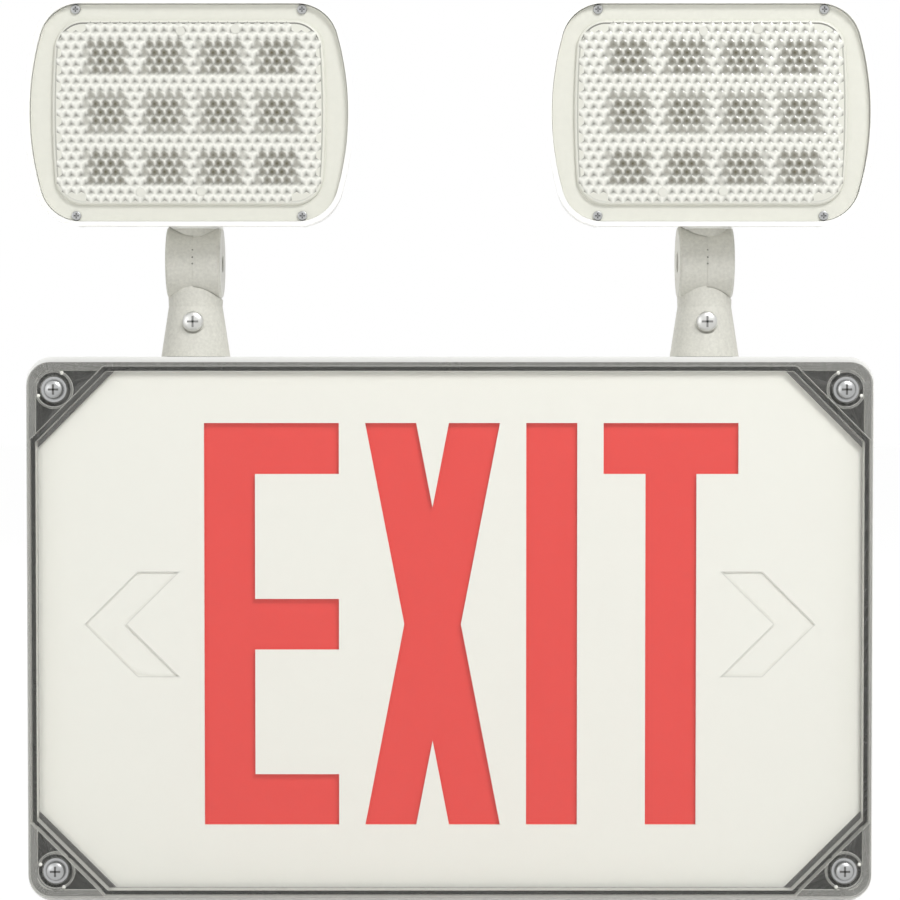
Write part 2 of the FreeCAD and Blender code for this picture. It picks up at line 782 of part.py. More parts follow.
def make_light_box():
    body = new_body("light_box")
    outline = new_sketch(body, "box_outline", FRONT, BOX_BACK)
    add_octagon(outline, BOX_X, BOX_Z, "dome_cut")
    pad(body, outline, "box_depth")
    hollow = new_sketch(body, "box_hollow", FRONT, DIFFUSER_BACK)
    add_octagon(hollow, f"{BOX_X} - box_wall", f"{BOX_Z} - box_wall",
                "dome_cut - box_wall * (2 - sqrt(2))")
    pocket(body, hollow, "box_depth - box_wall")
    holes = new_sketch(body, "box_holes", FRONT, BOX_BACK)
    for x, z in BOX_SCREWS:
        add_circle(holes, "small_screw_radius + slip_clearance", x, z)
    pocket(body, holes, "box_wall", backward=False)


def make_sign_lamps():
    board = new_body("sign_led_board")
    outline = new_sketch(board, "sign_board", FRONT, f"{BOX_BACK} + box_wall")
    half_x, half_z = f"({BOX_X}) - dome_cut", f"({BOX_Z}) - board_margin - box_wall"
    add_rectangle(outline, half_x, half_z)
    pad(board, outline, "board_thickness")
    leds = new_body("sign_leds")
    dots = new_sketch(leds, "sign_dots", FRONT, f"{BOX_BACK} + box_wall + board_thickness")
    pitch_x = f"2 * ({half_x} - led_size) / led_columns"
    pitch_z = f"2 * ({half_z} - led_size) / led_rows"
    for x, z in grid("led_columns", "led_rows", pitch_x, pitch_z):
        add_rectangle(dots, "led_size / 2", "led_size / 2", x, z)
    pad(leds, dots, "led_height")


# ---------------------------------------------------------------- power parts

def make_control_board():
    body = new_body("control_board")
    outline = new_sketch(body, "control_outline", FRONT, CONTROL_BACK)
    add_rectangle(outline, "control_width / 2", "control_height / 2", "control_x")
    pad(body, outline, "board_thickness")
    holes = new_sketch(body, "control_holes", FRONT, CONTROL_BACK)
    for x, z in CONTROL_SCREWS:
        add_circle(holes, "small_screw_radius + slip_clearance", x, z)
    pocket(body, holes, "board_thickness", backward=False)
    core = new_body("transformer")
    block = new_sketch(core, "transformer_block", FRONT, CONTROL_FRONT)
    add_rectangle(block, "transformer_width / 2", "transformer_height / 2",
                  "control_x - transformer_shift")
    pad(core, block, "transformer_depth")


def make_board_parts():
    body = new_body("board_parts")
    cans = new_sketch(body, "capacitor_cans", FRONT, CONTROL_FRONT)
    for x, z in grid("1", "can_count", "0", "can_pitch"):
        add_circle(cans, "can_radius", f"control_x + can_shift + {x}", z)
    pad(body, cans, "can_height")
    relay = new_sketch(body, "relay_block", FRONT, CONTROL_FRONT)
    add_rectangle(relay, "relay_width / 2", "relay_height / 2", "control_x + relay_shift")
    pad(body, relay, "relay_depth")


def make_battery():
    body = new_body("battery_pack")
    middle = "back_wall + cell_radius"
    ends = new_sketch(body, "cell_ends", SIDE, "-battery_x - cell_length / 2")
    for step in range(round(value("cell_count"))):
        height = f"({step} - (cell_count - 1) / 2) * (2 * cell_radius + slip_clearance)"
        add_circle(ends, "cell_radius", f"-({middle})", height)
    pad(body, ends, "cell_length")
    strap = new_body("battery_strap")
    under = f"({middle} + cell_radius + slip_clearance)"
    foot = f"({STRAP_OUTER} + strap_width)"
    profile = new_sketch(strap, "strap_profile", SIDE, "-battery_x - strap_width / 2")
    half = [(f"-{under}", STRAP_SIDE), ("-back_wall", STRAP_SIDE), ("-back_wall", foot),
            ("-back_wall - strap_thickness", foot),
            ("-back_wall - strap_thickness", STRAP_OUTER),
            (f"-{under} - strap_thickness", STRAP_OUTER)]
    lower = [(depth, f"-{height}") for depth, height in reversed(half)]
    add_polygon(profile, half + lower)
    pad(strap, profile, "strap_width")
    holes = new_sketch(strap, "strap_holes", FRONT, "back_wall")
    for x, z in STRAP_SCREWS:
        add_circle(holes, "small_screw_radius + slip_clearance", x, z)
    pocket(strap, holes, "strap_thickness", backward=False)


# ---------------------------------------------------------------- fasteners

def screw_set(label, places, seat, sizes, role=FRONT, place=None):
    """Pan-head screws with a cross recess: heads in front of the seat."""
    head_radius, head_height, shaft_radius, length = sizes
    body = new_body(label, place)
    shafts = new_sketch(body, f"{label}_shafts", role, seat)
    for x, z in places:
        add_circle(shafts, shaft_radius, x, z)
    pad(body, shafts, length, backward=True)
    heads = new_sketch(body, f"{label}_heads", role, seat)
    for x, z in places:
        add_circle(heads, head_radius, x, z)
    pad(body, heads, head_height)
    axis = "Y" if role == FRONT else "X"
    sign = -1 if role == FRONT else 1
    front = sign * (value(seat) + value(head_height))
    round_edges(body, edges_at(body.Tip.Shape, axis, front), f"{head_height} * head_rounding")
    cross = new_sketch(body, f"{label}_cross", role, f"{seat} + {head_height}")
    for x, z in places:
        add_cross(cross, f"{head_radius} * recess_reach", f"{head_radius} * recess_arm", x, z)
    pocket(body, cross, f"{head_height} * recess_depth")


def add_cross(sketch, reach, half, x, z):
    outline = [(reach, half), (half, half), (half, reach), (f"-{half}", reach),
               (f"-{half}", half), (f"-{reach}", half), (f"-{reach}", f"-{half}"),
               (f"-{half}", f"-{half}"), (f"-{half}", f"-{reach}"), (half, f"-{reach}"),
               (half, f"-{half}"), (reach, f"-{half}")]
    add_polygon(sketch, [(f"({x}) + {a}", f"({z}) + {b}") for a, b in outline])


def make_cover_screws():
    washers = new_body("cover_washers")
    rings = new_sketch(washers, "washer_rings", FRONT, SEAT)
    for x, z in SCREWS:
        add_circle(rings, "washer_radius", x, z)
        add_circle(rings, "cover_screw_radius + thread_clearance", x, z)
    pad(washers, rings, "washer_thickness")
    sizes = ("cover_head_radius", "cover_head_height", "cover_screw_radius", "cover_screw_length")
    screw_set("cover_screws", SCREWS, f"{SEAT} + washer_thickness", sizes)


def make_inner_screws():
    """Screws of the light box, the control board and the battery strap."""
    head = ("small_head_radius", "small_head_height", "small_screw_radius")
    screw_set("light_box_screws", BOX_SCREWS, f"{BOX_BACK} + box_wall",
              head + ("small_screw_length",))
    screw_set("board_screws", CONTROL_SCREWS, CONTROL_FRONT,
              head + ("control_rise + board_thickness + short_screw_bite / 2",))
    screw_set("strap_screws", STRAP_SCREWS, "back_wall + strap_thickness",
              head + ("strap_thickness + short_screw_bite / 2",))


# ---------------------------------------------------------------- button, lamp and plug

def make_test_button():
    """A push button in a bezel on the right side, over its switch."""
    outside = "housing_width / 2"
    switch_face = f"({outside} + bezel_rise - button_length - slip_clearance)"
    bezel = new_body("button_bezel")
    flange = new_sketch(bezel, "bezel_flange", SIDE, outside)
    add_circle(flange, "bezel_radius", "-button_depth", "button_z")
    pad(bezel, flange, "bezel_rise")
    barrel = new_sketch(bezel, "bezel_barrel", SIDE, outside)
    add_circle(barrel, "bezel_radius - bezel_rise - thread_clearance", "-button_depth", "button_z")
    pad(bezel, barrel, f"{outside} - {switch_face}", backward=True)
    bore = new_sketch(bezel, "bezel_bore", SIDE, f"{outside} + bezel_rise")
    add_circle(bore, "button_radius + slip_clearance", "-button_depth", "button_z")
    pocket(bezel, bore, f"{outside} + bezel_rise - {switch_face}")
    button = new_body("test_button")
    face = new_sketch(button, "button_face", SIDE, f"{outside} + bezel_rise + button_travel")
    add_circle(face, "button_radius", "-button_depth", "button_z")
    pad(button, face, "button_length", backward=True)
    front = value(f"{outside} + bezel_rise + button_travel")
    round_edges(button, edges_at(button.Tip.Shape, "X", front), "button_travel / 2")
    switch = new_body("push_switch")
    block = new_sketch(switch, "switch_block", SIDE, switch_face)
    add_rectangle(block, "switch_size / 2", "switch_size / 2", "-button_depth", "button_z")
    pad(switch, block, "switch_depth", backward=True)


def make_status_lamp():
    body = new_body("status_lamp")
    dome = new_sketch(body, "lamp_dome", SIDE, "housing_width / 2 + bezel_rise")
    add_circle(dome, "lamp_radius", "-button_depth", "button_z + lamp_offset")
    pad(body, dome, "lamp_length", backward=True)
    front = value("housing_width / 2 + bezel_rise")
    round_edges(body, edges_at(body.Tip.Shape, "X", front), "lamp_rounding")


def make_conduit_plug():
    body = new_body("conduit_plug")
    outside = "-housing_width / 2 - plug_rise"
    barrel = new_sketch(body, "plug_barrel", SIDE, outside)
    add_circle(barrel, "plug_radius", "-button_depth")
    pad(body, barrel, "plug_rise + housing_wall + 2 * plug_rise")
    flange = new_sketch(body, "plug_flange", SIDE, outside)
    add_circle(flange, "plug_radius + 2 * plug_rise", "-button_depth")
    pad(body, flange, "plug_rise")
    socket = new_sketch(body, "plug_socket", SIDE, outside)
    add_hexagon(socket, "hex_socket", "-button_depth")
    pocket(body, socket, "plug_rise + housing_wall", backward=False)


# ---------------------------------------------------------------- arms

def make_post(side):
    """A fixed hollow post with flange, seal and locknut that the arm turns on."""
    place = (arm_place(side)[0], "arm_depth", "housing_height / 2")
    body = new_body(f"{side}_swivel_post", place)
    profile = new_sketch(body, f"{side}_post_profile", FRONT)
    bore = "(post_radius - post_wall)"
    neck = "(post_radius - groove_sink)"
    low = "-(housing_wall + locknut_thickness + post_wall)"
    seal_top = "post_seal"
    flange_top = "(post_seal + post_flange)"
    middle = "(axis_rise - clamp_drop)"
    add_polygon(profile, [
        (bore, low), ("post_radius", low), ("post_radius", seal_top),
        ("post_flange_radius", seal_top), ("post_flange_radius", flange_top),
        ("post_radius", flange_top), ("post_radius", f"{middle} - groove_width / 2"),
        (neck, f"{middle} - groove_width / 2"), (neck, f"{middle} + groove_width / 2"),
        ("post_radius", f"{middle} + groove_width / 2"), ("post_radius", "post_rise"),
        (bore, "post_rise")])
    revolve(body, profile, "V_Axis")
    seal = new_body(f"{side}_post_seal", place)
    ring = new_sketch(seal, f"{side}_seal_ring", TOP)
    add_circle(ring, "post_flange_radius")
    add_circle(ring, "post_radius + thread_clearance")
    pad(seal, ring, "post_seal")
    nut = new_body(f"{side}_locknut", place)
    flats = new_sketch(nut, f"{side}_nut_flats", TOP, "-housing_wall")
    add_hexagon(flats, "locknut_flats")
    add_circle(flats, "post_radius + thread_clearance")
    pad(nut, flats, "locknut_thickness", backward=True)


def add_half_drum(body, name, sign):
    """Half of the knuckle drum, from the seam to one end, about the tilt axis."""
    near = f"{sign} * seam_gap / 2"
    far = f"{sign} * drum_width / 2"
    shoulder = f"{sign} * (drum_width / 2 - drum_chamfer)"
    profile = new_sketch(body, name, FRONT)
    add_polygon(profile, [
        (near, "0"), (near, "drum_radius"), (shoulder, "drum_radius"),
        (far, "drum_radius - drum_chamfer"), (far, "0")])
    revolve(body, profile, "H_Axis")


def cut_half_saddle(body, name, sign):
    """Room for the other half of the knuckle drum to turn in."""
    saddle = new_sketch(body, name, SIDE, f"{sign} * seam_gap / 2")
    add_circle(saddle, "drum_radius + saddle_clearance")
    pocket(body, saddle, "drum_width", backward=sign > 0)


def cut_pivot_bore(body, name, sign):
    """The pivot bore through one half, with a round recess in its end face."""
    bore = new_sketch(body, f"{name}_bore", SIDE)
    add_circle(bore, "pivot_radius + fit_clearance")
    pocket(body, bore, "drum_width", backward=sign < 0)
    recess = new_sketch(body, f"{name}_recess", SIDE, f"{sign} * drum_width / 2")
    add_circle(recess, "pivot_head_radius + slip_clearance")
    pocket(body, recess, "pivot_recess", backward=sign > 0)


def make_arm(side):
    """The tapered arm: it turns on the post and carries the fixed half drum."""
    place = arm_place(side)
    body = new_body(f"{side}_arm", place)
    foot = "-(axis_rise - swivel_gap)"
    profile = new_sketch(body, f"{side}_arm_profile", FRONT)
    cap = "-sqrt(drum_radius ^ 2 - neck_radius ^ 2)"
    add_polygon(profile, [
        ("0", foot), ("base_radius", foot), ("waist_radius", "-waist_drop"),
        ("neck_radius", cap), ("0", cap)])
    revolve(body, profile, "V_Axis")
    cut_half_saddle(body, f"{side}_arm_saddle", -1)
    add_half_drum(body, f"{side}_arm_drum", -1)
    bore = new_sketch(body, f"{side}_arm_bore", TOP, foot)
    add_circle(bore, "post_radius + slip_clearance")
    pocket(body, bore, "post_rise + slip_clearance", backward=False)
    sink = new_sketch(body, f"{side}_arm_sink", TOP, foot)
    add_circle(sink, "post_flange_radius + slip_clearance")
    pocket(body, sink, "post_seal + post_flange", backward=False)
    seat = new_sketch(body, f"{side}_clamp_seat", FRONT, "clamp_seat", "0", "-clamp_drop")
    add_circle(seat, "clamp_pocket_radius")
    pocket(body, seat, "drum_radius", backward=False)
    hole = new_sketch(body, f"{side}_clamp_hole", FRONT, "clamp_seat", "0", "-clamp_drop")
    add_circle(hole, "clamp_radius + thread_clearance")
    pocket(body, hole, "clamp_seat")
    cut_pivot_bore(body, f"{side}_arm_pivot", -1)
    sizes = ("clamp_head_radius", "clamp_head_height", "clamp_radius",
             "clamp_seat - post_radius + groove_sink / 2")
    screw_set(f"{side}_clamp_screw", [("0", "-clamp_drop")], "clamp_seat", sizes, place=place)
    make_pivot(side, place)


def make_pivot(side, place):
    """The pivot bolt along the tilt axis and its nut in the other end."""
    seat = "(drum_width / 2 - pivot_recess)"
    sizes = ("pivot_head_radius", "pivot_head_height", "pivot_radius", f"2 * {seat} + pivot_thread")
    screw_set(f"{side}_pivot_bolt", [("0", "0")], seat, sizes, role=SIDE, place=place)
    nut = new_body(f"{side}_pivot_nut", place)
    flats = new_sketch(nut, f"{side}_pivot_flats", SIDE, f"-{seat}")
    add_hexagon(flats, "pivot_head_radius * sqrt(3)")
    add_circle(flats, "pivot_radius + thread_clearance")
    pad(nut, flats, "pivot_head_height", backward=True)


# ---------------------------------------------------------------- lamp heads

BOARD_BACK = "head_board_front - board_thickness"
BOARD_POSTS = four("head_board_width / 2 - board_post_inset",
                   "head_board_height / 2 - board_post_inset")
LENS_SCREWS = [(f"{a}lens_screw_x", f"head_rise + {b}lens_screw_z")
               for a in ("", "-") for b in ("", "-")]


def head_plate(body, name, inset, offset, length, form="head"):
    """A pad of the head's or the window's outline, set in by a margin."""
    sketch = new_sketch(body, name, FRONT, offset)
    add_bowed(sketch, form, inset, "head_rise")
    pad(body, sketch, length)


def head_hollow(body, name, inset, offset, length, backward=True, form="head"):
    """A pocket of the head's or the window's outline, set in by a margin."""
    sketch = new_sketch(body, name, FRONT, offset)
    add_bowed(sketch, form, inset, "head_rise")
    pocket(body, sketch, length, backward)


def make_head_housing(side, place):
    body = new_body(f"{side}_head_housing", place)
    outline = new_sketch(body, f"{side}_head_outline", FRONT, "head_front")
    add_bowed(outline, "head", "0", "head_rise")
    pad(body, outline, "head_back + head_front", backward=True, taper="-head_draft")
    back = value("head_back")
    round_edges(body, edges_at(body.Tip.Shape, "Y", back), "head_back_radius")
    spine = new_sketch(body, f"{side}_head_neck", TOP)
    add_circle(spine, "neck_radius")
    pad(body, spine, "neck_rise")
    cut_half_saddle(body, f"{side}_head_saddle", 1)
    add_half_drum(body, f"{side}_head_drum", 1)
    cut_pivot_bore(body, f"{side}_head_pivot", 1)
    head_hollow(body, f"{side}_lens_recess", "rim_width", "head_front",
                "lens_sink + lens_flange + lens_seal")
    cavity = new_sketch(body, f"{side}_head_cavity", FRONT, f"{HEAD_SEAT} - lens_seal")
    add_bowed(cavity, "head", "head_wall", "head_rise")
    pocket(body, cavity, f"{HEAD_SEAT} - lens_seal + head_back - head_back_wall",
           taper="-head_draft")
    bosses = new_sketch(body, f"{side}_lens_bosses", FRONT, f"{HEAD_SEAT} - lens_seal")
    for x, z in LENS_SCREWS:
        add_circle(bosses, "lens_boss_radius", x, z)
    pad(body, bosses, "lens_boss_length", backward=True)
    posts = new_sketch(body, f"{side}_board_posts", FRONT, BOARD_BACK, "0", "head_rise")
    for x, z in BOARD_POSTS:
        add_circle(posts, "board_post_radius", x, z)
    pad(body, posts, f"{BOARD_BACK} + head_back - head_back_wall / 2", backward=True)
    pilots = new_sketch(body, f"{side}_lens_pilots", FRONT, f"{HEAD_SEAT} - lens_seal")
    for x, z in LENS_SCREWS:
        add_circle(pilots, "lens_screw_radius + thread_clearance", x, z)
    pocket(body, pilots, "lens_screw_length")


def make_lens(side, place):
    gasket = new_body(f"{side}_lens_gasket", place)
    inset = "rim_width + rim_clearance"
    head_plate(gasket, f"{side}_gasket_outline", inset, f"{HEAD_SEAT} - lens_seal", "lens_seal")
    head_hollow(gasket, f"{side}_gasket_hole", "head_wall + lens_boss_radius", HEAD_SEAT,
                "lens_seal")
    lens = new_body(f"{side}_lens", place)
    head_plate(lens, f"{side}_lens_outline", inset, HEAD_SEAT, "lens_flange")
    head_plate(lens, f"{side}_window", "0", HEAD_SEAT, "lens_flange + window_rise", "window")
    head_hollow(lens, f"{side}_window_hollow", "lens_wall", HEAD_SEAT,
                "lens_flange + window_rise - lens_wall", backward=False, form="window")
    for piece, name in ((gasket, "gasket"), (lens, "lens")):
        holes = new_sketch(piece, f"{side}_{name}_holes", FRONT, f"{HEAD_SEAT} + lens_flange")
        for x, z in LENS_SCREWS:
            add_circle(holes, "lens_screw_radius + thread_clearance", x, z)
        pocket(piece, holes, "lens_flange + lens_seal")
    sizes = ("lens_head_radius", "lens_head_height", "lens_screw_radius", "lens_screw_length")
    screw_set(f"{side}_lens_screws", LENS_SCREWS, f"{HEAD_SEAT} + lens_flange", sizes, place=place)


def make_head_lamps(side, place):
    board = new_body(f"{side}_led_board", place)
    plate = new_sketch(board, f"{side}_led_plate", FRONT, "head_board_front", "0", "head_rise")
    add_rectangle(plate, "head_board_width / 2", "head_board_height / 2")
    pad(board, plate, "board_thickness", backward=True)
    places = grid("lamp_columns", "lamp_rows", "lamp_pitch_x", "lamp_pitch_z")
    leds = new_body(f"{side}_leds", place)
    dots = new_sketch(leds, f"{side}_led_dots", FRONT, "head_board_front", "0", "head_rise")
    for x, z in places:
        add_rectangle(dots, "lamp_size / 2", "lamp_size / 2", x, z)
    pad(leds, dots, "lamp_height")
    cups = new_body(f"{side}_reflector", place)
    block = new_sketch(cups, f"{side}_cup_block", FRONT, "head_board_front",
                       "0", "head_rise")
    add_rectangle(block, "head_board_width / 2", "head_board_height / 2")
    pad(cups, block, "cup_depth")
    mouths = new_sketch(cups, f"{side}_cup_mouths", FRONT,
                        "head_board_front + cup_depth", "0", "head_rise")
    for x, z in places:
        add_rectangle(mouths, "cup_width / 2", "cup_height / 2", x, z)
    pocket(cups, mouths, "cup_depth", taper="-cup_taper")


def make_head(side):
    place = arm_place(side)
    make_head_housing(side, place)
    make_lens(side, place)
    make_head_lamps(side, place)


# ---------------------------------------------------------------- build and export

def build():
    make_housing()
    make_rear_seal()
    make_cover_gasket()
    make_clear_cover()
    make_cover_screws()
    make_legend()
    make_diffuser()
    make_light_box()
    make_sign_lamps()
    make_control_board()
    make_board_parts()
    make_battery()
    make_inner_screws()
    make_test_button()
    make_status_lamp()
    make_conduit_plug()
    for side in ARM_SIGNS:
        make_post(side)
        make_arm(side)
        make_head(side)


def export():
    doc.recompute()
    for item in doc.Objects:
        if "Invalid" in item.State or "Error" in item.State:
            raise RuntimeError(f"{item.Label}: {item.State}")
    for body in SUBPARTS:
        if body.Shape.isNull() or not body.Shape.isValid() or not body.Shape.Solids:
            raise RuntimeError(f"{body.Label}: no valid solid")
    os.makedirs("parts", exist_ok=True)
    for body in SUBPARTS:
        body.Shape.exportStep(f"parts/{body.Label}.step")


build()
export()
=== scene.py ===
"""Emergency exit light: finishes and fine detail, dressed over the CAD frame."""
import json
import math

import bmesh
import bpy
from bpy.props import FloatProperty, FloatVectorProperty, IntProperty, PointerProperty
from mathutils import Matrix, Vector


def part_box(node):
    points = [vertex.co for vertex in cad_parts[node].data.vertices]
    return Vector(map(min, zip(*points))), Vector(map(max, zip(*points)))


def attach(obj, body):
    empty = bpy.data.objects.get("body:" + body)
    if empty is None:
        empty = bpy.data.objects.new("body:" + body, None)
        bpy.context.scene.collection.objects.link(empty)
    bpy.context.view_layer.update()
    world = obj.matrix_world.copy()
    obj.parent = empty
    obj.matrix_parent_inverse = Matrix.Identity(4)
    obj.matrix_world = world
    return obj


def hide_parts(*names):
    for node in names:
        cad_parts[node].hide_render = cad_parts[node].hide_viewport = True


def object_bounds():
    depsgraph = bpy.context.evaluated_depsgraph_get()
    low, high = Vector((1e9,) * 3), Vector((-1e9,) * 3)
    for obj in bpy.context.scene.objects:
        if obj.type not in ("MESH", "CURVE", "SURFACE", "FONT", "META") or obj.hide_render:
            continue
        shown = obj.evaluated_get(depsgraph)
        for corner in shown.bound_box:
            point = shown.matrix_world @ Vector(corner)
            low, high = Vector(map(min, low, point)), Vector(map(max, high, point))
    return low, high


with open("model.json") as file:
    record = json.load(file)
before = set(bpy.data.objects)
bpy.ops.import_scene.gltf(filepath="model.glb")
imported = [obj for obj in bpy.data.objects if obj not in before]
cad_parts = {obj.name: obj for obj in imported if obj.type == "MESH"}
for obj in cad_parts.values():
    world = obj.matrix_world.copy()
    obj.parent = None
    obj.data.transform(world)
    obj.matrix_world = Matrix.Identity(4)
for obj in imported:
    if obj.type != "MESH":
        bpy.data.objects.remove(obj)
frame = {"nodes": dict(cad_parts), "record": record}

bl_info = {
    "name": "Emergency Exit Light",
    "version": (1, 0, 0),
    "blender": (4, 5, 0),
    "location": "View3D > Sidebar > Exit Light",
    "description": "Dresses the exit sign and its lamp heads with moulded, rubber and "
                   "steel finishes",
    "category": "Object",
}

CAD_BOX = [list(corner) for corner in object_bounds()]
SIDES = ("left", "right")
MM = 0.001

# vertices this near are one, and a mark drawn on a surface stands this far before it
MERGE_REACH = 0.001 * MM
LAY_ON = 0.02 * MM

# camera, floor, world and lamps
AIM = (0.0, -0.04, 0.05)
SENSOR = 36.0
CAMERA_FAR = 20.0
FLOOR_REACH = 6.0
FLOOR_GLOW = 1.05
FLOOR_SHARE = 0.91
WORLD_LIGHT = 0.36

# sandy texture of the arms and necks: its grain and its two shades
SAND_SIZE = 1.1 * MM
SAND_DARK, SAND_LIGHT = 0.78, 1.12

# diodes of one head, and how far a lit patch fades towards its edge
LED_SIZE = 5.0 * MM
LED_COLUMNS, LED_ROWS = 4, 3
PATCH_FADE = 0.6

# painted light of a lens cell: white, painted shade at its joints and in the cups, and the painted
# picture of the diodes; and how strongly they show on its flanks and at its joints
CELL_WHITE, CELL_CREASE_SHADE = "#EFEFE7", "#77776F"
CELL_CUP_SHADE, CELL_DIODE_PICTURE = "#B4B4AC", "#453F1C"
FLANK_CREASE_SHADE, FLANK_DIODE_PICTURE, JOINT_SHADE = 0.35, 0.58, 0.8

# where a cell's middle and flanks end, as shares of the pitch, and half a joint in degrees
CELL_MIDDLE, CELL_FLANK = 0.1, 0.4
JOINT_TURN = 15

# painted glint spots in millimetres from a corner screw, away from the sign's middle: across, then
# up or down
GLINT_SPOTS = ((5.8, -2.4), (-3.0, 6.2))

# ejector marks in millimetres from the middle of the diodes: across, then up
EJECTOR_MARKS = ((-3.0, 30.2), (17.4, 31.0), (-18.0, -29.8), (4.6, -29.4))

# seam dots of painted shade in millimetres above the pivot's axis
SEAM_DOTS = (4.2, 1.5, -0.9)

# the chevrons' sunk floor lies deeper than this, and their lines of painted shade stand before the
# legend
SCORE_DEPTH = 0.1 * MM
SCORE_LIFT = 0.03 * MM

# lens windows: the skin that holds the front face, the bend in radians past which its edges are
# rounded and with how many facets, and how high the groove's top stretch begins
FRONT_SKIN = 0.05 * MM
SQUARE_EDGE = 1.0
WINDOW_FACETS = 4
# the groove is painted shade, darkest along its top stretch
GROOVE_CORNER = 0.8

# screw heads: their depth, the crown's facets and rim, and the recess's floor, a box of painted
# shade
HEAD_DEPTH = 1.2 * MM
CROWN_STEPS, CROWN_TURNS = 6, 32
CROWN_REACH, CROWN_SINK = 0.94, 0.16
CROSS_DEPTH, CROSS_SINK = 0.3 * MM, 0.12 * MM

# how far a normal points to the front, from 0 to 1: flat faces, front faces and slopes
FLAT = 0.97
FACING = 0.9
SLOPE = 0.3


def linear(code):
    """An sRGB hex colour as linear RGB."""
    channels = [int(code[place:place + 2], 16) / 255 for place in (1, 3, 5)]
    return tuple(c / 12.92 if c <= 0.04045 else ((c + 0.055) / 1.055) ** 2.4 for c in channels)


def node_box(name):
    low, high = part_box(name)
    return Vector(low), Vector(high)


def node_centre(name):
    low, high = node_box(name)
    return (low + high) / 2


def node_finish(name):
    return frame["nodes"][name].material_slots[0].material


# ---------------------------------------------------------------- sizes and colours

class LensSizes(bpy.types.PropertyGroup):
    """Sizes of the prismatic lens cells in each lamp head."""
    cell_pitch: FloatProperty(
        name="Cell pitch", description="Distance between lens cells in a row",
        default=3.66 * MM, min=1 * MM, subtype="DISTANCE")
    cell_rise: FloatProperty(
        name="Cell rise", description="How far each lens cell crowns above the window",
        default=0.45 * MM, min=0.0, subtype="DISTANCE")
    window_width: FloatProperty(
        name="Window width", description="Width of the raised window",
        default=102.4 * MM, min=0.0, subtype="DISTANCE")
    window_height: FloatProperty(
        name="Window height", description="Height of the raised window",
        default=69.0 * MM, min=0.0, subtype="DISTANCE")
    window_bow: FloatProperty(
        name="Window bow", description="Radius of the window's bowed sides",
        default=330.0 * MM, min=0.0, subtype="DISTANCE")
    window_corner: FloatProperty(
        name="Window corner", description="Radius of the window's corners",
        default=11.0 * MM, min=0.0, subtype="DISTANCE")
    window_margin: FloatProperty(
        name="Field margin", description="From the cell field's edge to the first cell centres",
        default=2.4 * MM, min=0.0, subtype="DISTANCE")
    field_height: FloatProperty(
        name="Field height", description="Height of the field of cells",
        default=68.2 * MM, min=0.0, subtype="DISTANCE")
    lamp_shift: FloatProperty(
        name="Lamp shift", description="How far aside the prisms bend the picture of the diodes",
        default=1.3 * MM, subtype="DISTANCE")
    window_edge: FloatProperty(
        name="Window edge", description="Rounding along the window's front edge",
        default=1.0 * MM, min=0.0, subtype="DISTANCE")
    border_inset: FloatProperty(
        name="Border inset", description="From the window's edge to the groove round the cells",
        default=1.0 * MM, min=0.0, subtype="DISTANCE")
    border_width: FloatProperty(
        name="Border width", description="Width of the groove round the cells",
        default=0.55 * MM, min=0.0, subtype="DISTANCE")
    cup_width: FloatProperty(
        name="Cup width", description="Width of the lit patch that one reflector cup shows",
        default=16.6 * MM, min=0.0, subtype="DISTANCE")
    cup_height: FloatProperty(
        name="Cup height", description="Height of the lit patch that one reflector cup shows",
        default=15.0 * MM, min=0.0, subtype="DISTANCE")


class CoverSizes(bpy.types.PropertyGroup):
    """Edges, haze and painted light of the clear cover, and the chevron lines of painted shade
    behind it.
    """
    edge_radius: FloatProperty(
        name="Edge radius", description="Polished rounding along the cover's edges",
        default=0.55 * MM, min=0.0, subtype="DISTANCE")
    edge_segments: IntProperty(
        name="Edge segments", description="Facets across each rounded edge", default=1, min=1)
    dome_wall: FloatProperty(
        name="Dome wall", description="Depth that holds both faces of the dome's front",
        default=2.5 * MM, min=0.0, subtype="DISTANCE")
    # painted highlights: small white spots that stand for glints on the lip
    glint_radius: FloatProperty(
        name="Pip radius", description="Radius of the small pips on the lip",
        default=0.75 * MM, min=0.0, subtype="DISTANCE")
    # painted light: these tones paint the cover white along its polished front edge and grey on
    # its lips and walls
    painted_edge_light: FloatProperty(
        name="Edge tone", description="How bright the dome's polished front edge looks",
        default=1.0, min=0.0, max=1.0, subtype="FACTOR")
    painted_lip_light: FloatProperty(
        name="Lip tone", description="How bright the lips and walls look",
        default=0.62, min=0.0, max=1.0, subtype="FACTOR")
    flat_share: FloatProperty(
        name="Flat haze", description="How much of the light a flat face holds back",
        default=0.015, min=0.0, max=1.0, subtype="FACTOR")
    lip_share: FloatProperty(
        name="Lip haze", description="How much of the light the raised lip holds back",
        default=0.3, min=0.0, max=1.0, subtype="FACTOR")
    wall_share: FloatProperty(
        name="Wall haze", description="How much of the light an upright wall holds back",
        default=0.85, min=0.0, max=1.0, subtype="FACTOR")
    line_width: FloatProperty(
        name="Line width", description="Width of the knock-out chevrons' score lines",
        default=0.38 * MM, min=0.0, subtype="DISTANCE")


class ScrewSizes(bpy.types.PropertyGroup):
    """Shape of the screw heads' crowns and of the painted shade in their cross recesses."""
    crown_rise: FloatProperty(
        name="Crown rise", description="How far a head crowns above its rim",
        default=0.5 * MM, min=0.0, subtype="DISTANCE")
    cross_reach: FloatProperty(
        name="Cross reach", description="Length of each arm of the recess, as a share of the head",
        default=0.55, min=0.0, max=1.0, subtype="FACTOR")
    cross_width: FloatProperty(
        name="Cross width", description="Width of each arm of the recess, as a share of the head",
        default=0.2, min=0.0, max=1.0, subtype="FACTOR")


